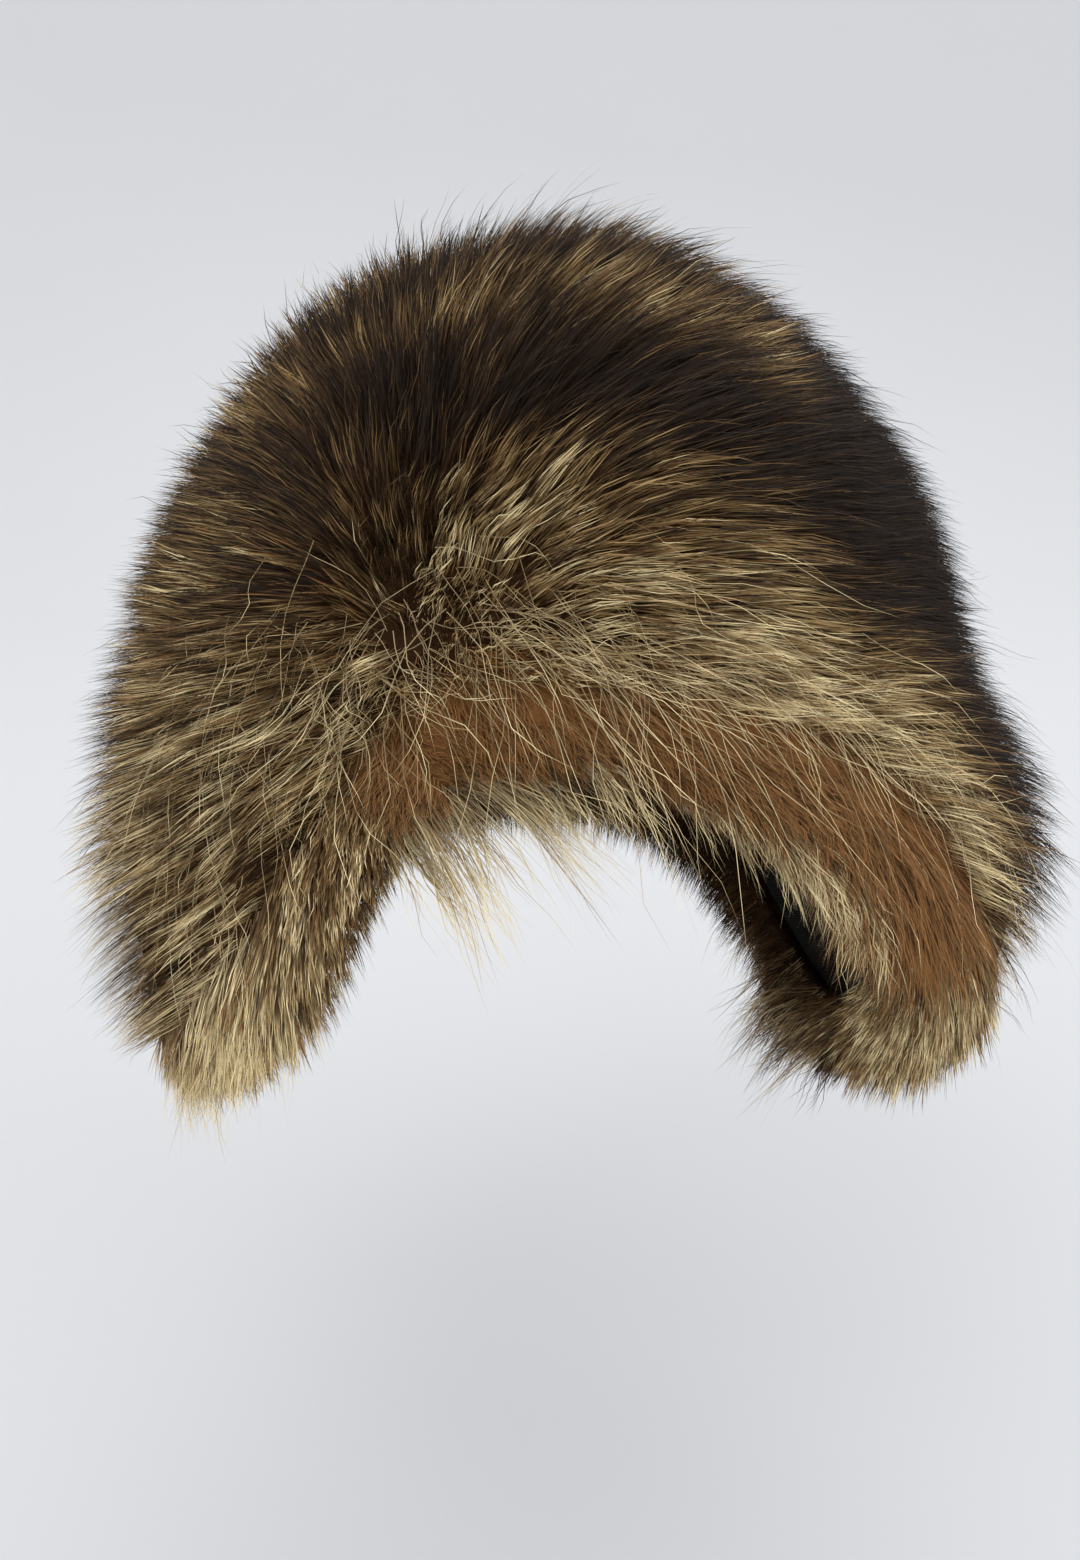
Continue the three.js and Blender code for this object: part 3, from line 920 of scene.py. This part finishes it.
def grow_guard_hairs(sizes, rng):
    """Sparse long hairs that stand out of the coat."""
    heading, polar = scattered(sizes.guard_spacing / MM, rng)
    count = len(heading)
    walk = 0.8 * coat_walk(heading, polar, sizes.guard_length / MM, rng)
    low, high = rng.uniform(0.5, 0.8, count), rng.uniform(1.0, 1.22, count)
    lines = lying_lines(heading, polar, walk, low, high, flap_hang(heading, polar))
    tone = lightness(lines[0][:, TONE_STATION - 1]) + rng.normal(0, 0.14, count)
    return Tufts(*lines, tone, np.zeros(count), node_at(heading, polar))


# The long hairs over the brow: the headings they grow at, how wide the whorl spreads them, and
# how far down they point, in degrees below straight left, with its spread.
STRAY_HEADINGS = (-62, 56)
STRAY_WHORL = 12
STRAY_POINTS = 28
STRAY_SPREAD = 26
STRAY_TONES = (0.64, 0.86)


def grow_brow_strays(sizes, rng):
    """Long cream hairs from the brow's whorl side that run left over the bare rim and droop."""
    count = sizes.stray_hairs
    heading = rng.uniform(*STRAY_HEADINGS, count)
    whorl = np.exp(-(((heading - WHORL_HEADING) / STRAY_WHORL) ** 2))
    above = 1 + np.abs(rng.normal(0, 6, count)) + 5 * whorl * rng.uniform(0, 1, count)
    above = above + rng.uniform(0, 36, count) * smooth(-heading, 26, 44)
    polar = coat_edge(heading) - above
    out = outward(heading, polar)
    feet = raised(heading, polar, 0.75 * read_round(DEPTH, heading, polar))
    left, down = along_skin(LEFT, out), along_skin(DOWN, out)
    angle = rng.normal(STRAY_POINTS, STRAY_SPREAD + 34 * whorl, count)
    angle = np.maximum(angle, 2 - 32 * whorl)
    angle = angle + 55 * smooth(-heading, 8, 34)
    angle = np.radians(angle)[:, None]
    way = unit(left * np.cos(angle) + down * np.sin(angle) + out * rng.uniform(0.05, 0.3, (count, 1)))
    length = sizes.stray_length / MM * rng.uniform(0.4, 1.1, count) * (1 - 0.35 * whorl)
    length = length * (1 - 0.35 * smooth(heading, 20, 40)) * (1 - 0.45 * smooth(-heading, 30, 42))
    lines = hanging_lines(feet, way, out, length, rng.uniform(0.1, 0.5, count))
    tone = rng.uniform(*STRAY_TONES, count)
    return Tufts(*lines, tone, np.zeros(count), node_at(heading, polar))


# Loose locks that hang over the rim: how many tufts, from which heading to which and how far down
# the turn they grow, how long and light they are, and how straight out of the turn they stand.
LOOSE_LOCKS = [
    (80, -33, -13, 72, 37, 0.78, 0.3),
    (30, -14, 2, 70, 24, 0.76, 0.3),
    (30, 12, 28, 80, 18, 0.72, 0.3),
    (60, 26, 42, 75, 20, 0.76, 0.3),
    (120, -64, -43, 30, 25, 0.74, 0.3),
    (50, -90, -62, 110, 12, 0.78, 0.4),
    (90, 76, 106, 140, 27, 0.08, 0.45),
    (80, 80, 110, 150, 32, 0.6, 0.5),
    (50, 108, 130, 80, 22, 0.7, 0.3),
]


def grow_loose_locks(rng):
    """Loose locks that leave the turn along its normal, run left at the brow and fall."""
    rows = np.repeat(np.array(LOOSE_LOCKS), [row[0] for row in LOOSE_LOCKS], axis=0)
    _, first, last, turn, length, light, straight = rows.T
    heading = rng.uniform(first, last)
    turn = turn + rng.normal(0, 14, len(heading))
    length = length * rng.uniform(0.6, 1.15, len(heading))
    root, normal, out = turn_frame(heading, turn, 0.9 * TURN_SHARE)
    run = hair_run(pelt_point(heading, rim_polar(heading)), out, np.full(len(heading), 0.3))
    left = along_skin(LEFT, normal)
    front = smooth(-turned(heading), -44, -30)[:, None]
    straight = straight[:, None]
    beside = (run * (1 - 0.5 * front) + left * 0.75 * front) * (1 - straight) / 0.7
    way = unit(straight * normal + beside + 0.5 * DOWN)
    way = unit(way + rng.normal(0, 0.14, way.shape))
    lines = hanging_lines(root, way, normal, length, rng.uniform(0.15, 0.4, len(heading)))
    tone = light + rng.uniform(-0.1, 0.1, len(heading))
    return Tufts(*lines, tone, np.full(len(heading), 0.03), node_at(heading))


# Strands

# How strands follow their tufts: how many cuts each has, the range of its length as a share of the
# tuft's, how far it lifts, gathers and waves, how its tone varies, and its width as a share.
COAT_LOOK = dict(cuts=3, lengths=(0.6, 1.1), lift=1.4, gather=0.6, wave=0.7, tone=0.11, slim=1.0)
SOFT_LOOK = dict(cuts=3, lengths=(0.7, 1.15), lift=1.2, gather=0.15, wave=1.4, tone=0.05, slim=0.75)
GUARD_LOOK = dict(cuts=4, lengths=(0.8, 1.15), lift=3.0, gather=0.3, wave=2.0, tone=0.08, slim=0.6)
WISP_LOOK = dict(cuts=5, lengths=(0.6, 1.2), lift=2.5, gather=0.4, wave=2.5, tone=0.05, slim=0.6)
STRAY_LOOK = dict(cuts=6, lengths=(0.8, 1.1), lift=3.0, gather=0.0, wave=5.0, tone=0.05, slim=0.5)
MOST_TWIST = np.radians(50)
LOWEST_HAIR = -286.0


def strands(tufts, count, look, sizes, rng):
    """Strands of tufts as tapered ribbons: points, triangles and map places. A strand starts
    beside its tuft's middle line by a random step, follows it while gathering towards it and
    waving a little. One that would hang below the lowest hairs is drawn in towards its root. Its
    two edges lie across it, turned by a random angle, and narrow to nothing at the tip by a root
    curve."""
    cuts, n = look["cuts"], len(tufts.middle) * count
    owner = np.repeat(np.arange(len(tufts.middle)), count)
    angle = rng.uniform(0, 2 * np.pi, n)
    spread = sizes.tuft_spread / MM * np.sqrt(rng.uniform(0, 1, n))
    length = rng.uniform(*look["lengths"], n)
    cut = np.linspace(0, 1, cuts + 1)
    t = cut[None, :] * length[:, None]
    place = t * (STATIONS - 1)
    low = np.minimum(place.astype(int), STATIONS - 2)
    part = (place - low)[..., None]

    def follow(lines):
        one, two = lines[owner[:, None], low], lines[owner[:, None], low + 1]
        return one + (two - one) * part

    where, across, out = follow(tufts.middle), unit(follow(tufts.side)), unit(follow(tufts.out))
    ahead = np.cross(out, across)
    loose = 1 - look["gather"] * np.minimum(t, 1) ** 1.2
    phase, beat = rng.uniform(0, 2 * np.pi, (n, 1)), rng.uniform(3, 8, (n, 1))
    wave = look["wave"] * t * np.sin(phase + t * beat)
    where = where + across * ((spread * np.cos(angle))[:, None] * loose + wave)[..., None]
    where = where + ahead * ((spread * np.sin(angle))[:, None] * (1 - 0.5 * t))[..., None]
    where = where + out * (rng.normal(0, look["lift"], n)[:, None] * t)[..., None]
    foot = where[:, :1]
    drop = foot[:, 0, 2] - where[..., 2].min(1)
    room = foot[:, 0, 2] - LOWEST_HAIR
    where = foot + (where - foot) * np.minimum(1, room / np.maximum(drop, 1e-6))[:, None, None]
    twist = rng.uniform(-MOST_TWIST, MOST_TWIST, n)[:, None, None]
    flat = across * np.cos(twist) + out * np.sin(twist)
    width = sizes.strand_width / MM * look["slim"] * rng.uniform(0.7, 1.3, n)
    taper = np.sqrt(1 - cut[:-1] ** 1.6)
    half = flat[:, :-1] * (width[:, None] * taper[None, :] / 2)[..., None]
    pairs = np.stack([where[:, :-1] - half, where[:, :-1] + half], 2).reshape(n, 2 * cuts, 3)
    points = np.concatenate([pairs, where[:, -1:]], 1)
    tip = np.array([[2 * cuts - 2, 2 * cuts, 2 * cuts - 1]])
    one = np.concatenate([grid_triangles(cuts, 2), tip])
    triangles = one[None] + (2 * cuts + 1) * np.arange(n)[:, None, None]
    tone = np.clip(tufts.tone[owner] + rng.normal(0, look["tone"], n), DARKEST, LIGHTEST)
    rusty = rng.uniform(0, 1, n) < tufts.rust[owner]
    tone = np.where(rusty, rng.uniform(RUST_FROM, RUST_TO, n), tone)
    edge = np.tile([-HALF_MAP_WIDTH, HALF_MAP_WIDTH], cuts + 1)[:-1]
    edge[-1] = 0
    u = tone[:, None] + edge[None, :]
    v = np.broadcast_to(np.repeat(0.02 + 0.96 * cut, 2)[:-1], u.shape)
    return points.reshape(-1, 3), triangles.reshape(-1, 3), np.stack([u, v], -1).reshape(-1, 2)


def joined(parts):
    """Several meshes' points, triangles and map places as one mesh's."""
    starts = np.cumsum([0] + [len(points) for points, _, _ in parts])
    triangles = [part[1] + start for part, start in zip(parts, starts)]
    points, maps = [part[0] for part in parts], [part[2] for part in parts]
    return np.concatenate(points), np.concatenate(triangles), np.concatenate(maps)


# Pieces

MOST_TRIANGLES = 199000
CROWN_SPLIT = 5.0

COATS = [
    {"name": "crown_fur_fore", "node": "crown_fur", "strands": 6, "half": "fore"},
    {"name": "crown_fur_rear", "node": "crown_fur", "strands": 4, "half": "rear"},
    {"name": "brow_fur_coat", "node": "brow_fur", "strands": 7},
    {"name": "ear_left_fur_coat", "node": "ear_flap_left_fur", "strands": 5},
    {"name": "ear_right_fur_coat", "node": "ear_flap_right_fur", "strands": 5},
    {"name": "nape_fur_coat", "node": "nape_flap_fur", "strands": 4},
]

LONG_HAIRS = {
    "crown_guard_hairs": "crown_fur",
    "brow_guard_hairs": "brow_fur",
    "ear_left_guard_hairs": "ear_flap_left_fur",
    "ear_right_guard_hairs": "ear_flap_right_fur",
    "nape_guard_hairs": "nape_flap_fur",
}

# Each flap's underfur: its name, its node, and the headings where it starts and ends.
UNDERFURS = [
    ("brow_underfur", "brow_fur", -BROW_SIDE, BROW_SIDE),
    ("ear_left_underfur", "ear_flap_left_fur", BROW_SIDE, NAPE_SIDE),
    ("ear_right_underfur", "ear_flap_right_fur", -NAPE_SIDE, -BROW_SIDE),
    ("nape_underfur", "nape_flap_fur", NAPE_SIDE, 360 - NAPE_SIDE),
]
UNDERFUR_SHARE = 0.46
RIM_SHARE = 0.64
BACKING = 0.3


def hair_piece(name, node, parts, material):
    """One piece of strands, refused where it has too many triangles."""
    points, triangles, uv = joined(parts)
    if len(triangles) > MOST_TRIANGLES:
        raise RuntimeError(f"{name} has {len(triangles)} triangles, over {MOST_TRIANGLES}")
    finish_piece(make_piece(name, points, triangles, uv=uv), node, material)


def make_coats(sizes, material):
    """The banded coat of each fur piece: its lying tufts, its turn's and its bare rim's."""
    rng = np.random.default_rng(sizes.seed)
    over = grow_coat(sizes, rng)
    turn, bare = grow_turn(sizes, rng)
    rim = grow_bare_rim(sizes, rng)
    fore = over.middle[:, 0, 1] < CROWN_SPLIT
    for plan in COATS:
        keep = over.node == plan["node"]
        if "half" in plan:
            keep = keep & (fore == (plan["half"] == "fore"))
        parts = [strands(over.where(keep), plan["strands"], COAT_LOOK, sizes, rng)]
        own = turn.node == plan["node"]
        groups = [(turn, own & (bare < 0.5), COAT_LOOK), (turn, own & (bare >= 0.5), SOFT_LOOK)]
        groups.append((rim, rim.node == plan["node"], SOFT_LOOK))
        for tufts, keep, look in groups:
            if keep.any():
                parts.append(strands(tufts.where(keep), plan["strands"], look, sizes, rng))
        hair_piece(plan["name"], plan["node"], parts, material)


def make_long_hairs(sizes, material):
    """The guard hairs of each fur piece, with the brow's long strays and the loose locks."""
    rng = np.random.default_rng(sizes.seed + 1)
    guard = grow_guard_hairs(sizes, rng)
    stray = grow_brow_strays(sizes, rng)
    locks = grow_loose_locks(rng)
    groups = [(guard, 2, GUARD_LOOK), (stray, 1, STRAY_LOOK), (locks, 7, WISP_LOOK)]
    for name, node in LONG_HAIRS.items():
        parts = []
        for tufts, count, look in groups:
            keep = tufts.node == node
            if keep.any():
                parts.append(strands(tufts.where(keep), count, look, sizes, rng))
        hair_piece(name, node, parts, material)


def underfur_height(heading, polar):
    """How high the underfur stands: a share of the fur's depth that grows towards the rim."""
    near = np.exp(-(((rim_polar(heading) - polar) / 14) ** 2))
    wave = 1 + 0.08 * ripple(pelt_point(heading, polar), 10, 51)
    share = UNDERFUR_SHARE + (RIM_SHARE - UNDERFUR_SHARE) * near
    return share * read_round(DEPTH, heading, polar) * wave


def flap_sections(heading, rows=15, turns=10):
    """Closed section lines of a flap's underfur: down the outside from the crown seam, round the
    turn, and back up along the skin side."""
    above = seam_polar(heading) + SEAM_GAP
    t = np.linspace(0, 1, rows)
    polar = above[:, None] + (rim_polar(heading) - above)[:, None] * t
    wide = np.repeat(heading[:, None], rows, 1)
    outer = raised(wide, polar, underfur_height(wide, polar))
    turn = np.broadcast_to(np.linspace(0, 180, turns + 1)[1:], (len(heading), turns))
    bend, _, _ = turn_frame(np.repeat(heading[:, None], turns, 1), turn, RIM_SHARE)
    inner = raised(wide, polar, np.full(polar.shape, BACKING))[:, ::-1]
    return np.concatenate([outer, bend, inner], 1)


def underfur_tone_and_shade(points):
    """The underfur's lightness: a little over half that of the coat, held dark as painted shade deep
    between the hairs, and rust at the bare rim and inside the turn.
    """
    heading, polar = place_of(points)
    bare = belt_share(heading) * smooth(polar - coat_edge(heading), -6, 0)
    # The low start and the half share of the coat's lightness paint the shade between the hairs; the
    # rust share is real colour.
    return 0.1 + 0.5 * lightness(points) * (1 - bare) + 0.85 * bare


def underfur_piece(name, node, form, material):
    """One closed soft wall from its points and triangles."""
    points, triangles = form
    piece = make_piece(name, points, triangles, tone=underfur_tone_and_shade(points), closed=True)
    finish_piece(piece, node, material)


def make_underfur(material):
    """Soft walls that the coat grows out of: one under each fur piece."""
    for name, node, first, last in UNDERFURS:
        heading = np.linspace(first + SEAM_GAP, last - SEAM_GAP, 45)
        underfur_piece(name, node, capped_loft(flap_sections(heading)), material)
    heading = np.linspace(-180, 180, 97)[:-1]
    t = np.linspace(0.02, 1, 26)
    polar = (seam_polar(heading) - SEAM_GAP)[:, None] * t
    wide = np.repeat(heading[:, None], len(t), 1)
    outer = raised(wide, polar, underfur_height(wide, polar))
    inner = raised(wide, polar, np.full(polar.shape, BACKING))[:, ::-1]
    dome = walled_dome(np.concatenate([outer, inner], 1))
    underfur_piece("crown_underfur", "crown_fur", dome, material)


def make_lining(look, material):
    """The lined shell: a wall inside the skin side from the top to the rim, whose inner cloth
    puckers a little by a smooth random depth that grows towards the rim."""
    heading = np.linspace(-180, 180, 145)[:-1]
    t = np.linspace(0.012, 1, 36)
    polar = rim_polar(heading)[:, None] * t
    wide = np.repeat(heading[:, None], len(t), 1)
    outer = raised(wide, polar, np.full(polar.shape, -0.1))
    pucker = look.pucker / MM * ripple(pelt_point(wide, polar), 24, 61) * t
    inner = raised(wide, polar, pucker - LINING_THICKNESS)[:, ::-1]
    points, triangles = walled_dome(np.concatenate([outer, inner], 1))
    piece = make_piece("cloth_lining", points, triangles, closed=True)
    finish_piece(piece, "lining", material)


# Stage

AIM = (0.0, 0.0, -0.11)
SWEEP_WIDTH = 5.0
SWEEP_FRONT = -3.0
SWEEP_BACK = 1.4
SWEEP_BEND = 2.6
SWEEP_TOP = 4.5


def make_sweep(look):
    """A pale floor that curves up into a backdrop: a line of floor, a quarter circle and a wall,
    carried from side to side."""
    bend = np.linspace(0, np.pi / 2, 25)
    curve = SWEEP_BACK + SWEEP_BEND * np.sin(bend)
    along = np.concatenate([[SWEEP_FRONT], curve, [SWEEP_BACK + SWEEP_BEND]])
    up = np.concatenate([[0.0], SWEEP_BEND * (1 - np.cos(bend)), [SWEEP_TOP]])
    across = np.array([-SWEEP_WIDTH, SWEEP_WIDTH])
    x, y = np.meshgrid(across, along)
    points = np.stack([x, y, np.repeat(up[:, None], 2, 1) + look.floor_height], -1).reshape(-1, 3)
    triangles = grid_triangles(len(along), 2)[:, ::-1]
    sweep = make_piece("pale_sweep", points / MM, triangles)
    sweep.data.materials.append(stage_material(look))


def make_lights(look):
    """Soft square lights round the hat, each aimed at it, and a pale world."""
    plans = [
        ("key_light", look.key_place, look.key_power),
        ("fill_light", look.fill_place, look.fill_power),
        ("back_light", look.back_place, look.back_power),
    ]
    for name, place, power in plans:
        light = bpy.data.lights.new(name, "AREA")
        light.energy = power
        light.size = look.light_size
        lamp = bpy.data.objects.new(name, light)
        lamp.location = place
        lamp.rotation_euler = (Vector(AIM) - Vector(place)).to_track_quat("-Z", "Y").to_euler()
        bpy.context.scene.collection.objects.link(lamp)
    world = bpy.data.worlds.new("soft_world")
    world.use_nodes = True
    background = world.node_tree.nodes["Background"]
    background.inputs["Color"].default_value = (*look.world_colour, 1)
    background.inputs["Strength"].default_value = look.world_strength
    bpy.context.scene.world = world


def make_camera(look):
    """The camera, in front of the hat and a little to its right, looking down on it."""
    data = bpy.data.cameras.new("camera")
    data.sensor_fit = "VERTICAL"
    data.sensor_height = 36.0
    data.lens = look.lens
    camera = bpy.data.objects.new("camera", data)
    camera.location = look.camera_place
    camera.rotation_euler = look.camera_turn
    bpy.context.scene.collection.objects.link(camera)
    bpy.context.scene.camera = camera
    bpy.context.scene.view_settings.view_transform = "Standard"


# Settings


def whole(name, description, default):
    return bpy.props.IntProperty(name=name, description=description, default=default)


def length(name, description, default):
    return bpy.props.FloatProperty(name=name, description=description, default=default, unit="LENGTH")


def amount(name, description, default):
    return bpy.props.FloatProperty(name=name, description=description, default=default)


def three(name, description, default, subtype, **limits):
    return bpy.props.FloatVectorProperty(
        name=name, description=description, default=default, subtype=subtype, **limits
    )


def colour(name, description, default):
    return three(name, description, default, "COLOR", min=0, max=1)


def place(name, description, default):
    return three(name, description, default, "TRANSLATION")


def turn(name, description, default):
    return three(name, description, default, "EULER")


class FurHatSizes(bpy.types.PropertyGroup):
    tuft_spacing: length("Tuft spacing", "Distance between the feet of tufts", 0.0024)
    tuft_spread: length("Tuft spread", "How far a strand starts from its tuft's middle", 0.0021)
    lock_spacing: length("Lock spacing", "Distance between the locks that tufts join", 0.008)
    lock_gather: amount("Lock gather", "How far tufts are drawn into locks at their tips", 0.32)
    hair_length: length("Hair length", "Length of the coat's hair", 0.034)
    turn_length: length("Turn hair length", "Length of the hair round the rim", 0.015)
    strand_width: length("Strand width", "Width of a strand of the coat at its root", 0.00042)
    guard_spacing: length("Guard spacing", "Distance between pairs of guard hairs", 0.009)
    guard_length: length("Guard length", "Length of the guard hairs", 0.048)
    stray_hairs: whole("Strays", "Number of long hairs at the brow", 620)
    stray_length: length("Stray length", "Length of the longest hairs at the brow", 0.060)
    seed: whole("Seed", "Start of the fur's random numbers", 7)


class FurHatColours(bpy.types.PropertyGroup):
    # Black is the darkest hair and also the painted shade deep in the underfur.
    black: colour("Black hair", "Darkest hair and the roots", screen(23, 17, 14))
    brown: colour("Brown hair", "Dark brown hair", screen(58, 43, 30))
    tan: colour("Tan hair", "Tan hair of the mixed bands", screen(128, 101, 62))
    gold: colour("Gold hair", "Light golden hair", screen(180, 152, 104))
    cream: colour("Cream hair", "Palest guard hairs", screen(243, 224, 174))
    rust: colour("Rust hair", "Soft underfur at the bare rim", screen(119, 80, 45))
    amber: colour("Amber hair", "Lightest underfur at the bare rim", screen(156, 113, 67))


class FurHatLining(bpy.types.PropertyGroup):
    dark: colour("Dark cloth", "Lining cloth in its darker places", screen(24, 20, 18))
    light: colour("Worn cloth", "Lining cloth where it is worn", screen(42, 36, 31))
    thread: colour("Thread", "Raised threads of the weave", screen(58, 51, 45))
    weave_scale: amount("Weave scale", "How fine the weave is", 420.0)
    pucker: length("Pucker", "How deep the cloth puckers", 0.0005)


class FurHatStage(bpy.types.PropertyGroup):
    floor_height: length("Floor height", "Height of the floor", -0.43)
    paper: colour("Paper", "Floor and backdrop", screen(210, 211, 213))
    world_colour: colour("World colour", "Tint of the light from all round", (0.97, 0.98, 1.0))
    world_strength: amount("World strength", "Strength of the light from all round", 1.05)
    light_size: length("Light size", "Side of each square light", 1.4)
    key_place: place("Key place", "Place of the key light", (-0.8, -1.2, 1.6))
    key_power: amount("Key power", "Power of the key light in watts", 11.0)
    fill_place: place("Fill place", "Place of the fill light", (1.4, -1.0, 0.9))
    fill_power: amount("Fill power", "Power of the fill light in watts", 7.0)
    back_place: place("Back place", "Place of the light behind", (0.4, 1.5, 1.6))
    back_power: amount("Back power", "Power of the light behind in watts", 10.0)
    lens: amount("Lens", "Focal length in millimetres", 34.6)
    camera_place: place("Camera place", "Place of the camera", (-0.0409, -0.4703, 0.0234))
    camera_turn: turn("Camera turn", "Turn of the camera", (np.radians(70.0), 0.0, np.radians(-4.0)))


# Operators and panel


class FURHAT_OT_lining(bpy.types.Operator):
    """Makes the cloth-lined shell"""

    bl_idname = "fur_hat.lining"
    bl_label = "Lining"

    def execute(self, context):
        look = context.scene.fur_hat_lining
        make_lining(look, cloth_material(look))
        return {"FINISHED"}


class FURHAT_OT_underfur(bpy.types.Operator):
    """Makes the soft walls of underfur"""

    bl_idname = "fur_hat.underfur"
    bl_label = "Underfur"

    def execute(self, context):
        make_underfur(underfur_material(context.scene.fur_hat_colours))
        return {"FINISHED"}


class FURHAT_OT_hair(bpy.types.Operator):
    """Makes the banded coats, the guard hairs and the loose locks"""

    bl_idname = "fur_hat.hair"
    bl_label = "Hair"

    def execute(self, context):
        sizes = context.scene.fur_hat_sizes
        material = hair_material(context.scene.fur_hat_colours)
        make_coats(sizes, material)
        make_long_hairs(sizes, material)
        return {"FINISHED"}


class FURHAT_OT_stage(bpy.types.Operator):
    """Makes the pale sweep, the soft lights and the camera"""

    bl_idname = "fur_hat.stage"
    bl_label = "Stage"

    def execute(self, context):
        look = context.scene.fur_hat_stage
        make_sweep(look)
        make_lights(look)
        make_camera(look)
        return {"FINISHED"}


class FURHAT_PT_sidebar(bpy.types.Panel):
    """Lists the hat's steps"""

    bl_label = "Fur Hat"
    bl_idname = "FURHAT_PT_sidebar"
    bl_space_type = "VIEW_3D"
    bl_region_type = "UI"
    bl_category = "Fur Hat"

    def draw(self, context):
        for step in STEPS:
            self.layout.operator(step.bl_idname)


SETTINGS = {
    "fur_hat_sizes": FurHatSizes,
    "fur_hat_colours": FurHatColours,
    "fur_hat_lining": FurHatLining,
    "fur_hat_stage": FurHatStage,
}
STEPS = (FURHAT_OT_lining, FURHAT_OT_underfur, FURHAT_OT_hair, FURHAT_OT_stage)


def register():
    for name, group in SETTINGS.items():
        bpy.utils.register_class(group)
        setattr(bpy.types.Scene, name, bpy.props.PointerProperty(type=group))
    for kind in (*STEPS, FURHAT_PT_sidebar):
        bpy.utils.register_class(kind)


def unregister():
    for kind in reversed((*STEPS, FURHAT_PT_sidebar)):
        bpy.utils.unregister_class(kind)
    for name, group in SETTINGS.items():
        delattr(bpy.types.Scene, name)
        bpy.utils.unregister_class(group)


def corners(box):
    return [list(corner) for corner in box]


def main():
    register()
    bpy.ops.fur_hat.lining()
    bpy.ops.fur_hat.underfur()
    bpy.ops.fur_hat.hair()
    bpy.ops.fur_hat.stage()


if __name__ == "__main__":
    main()
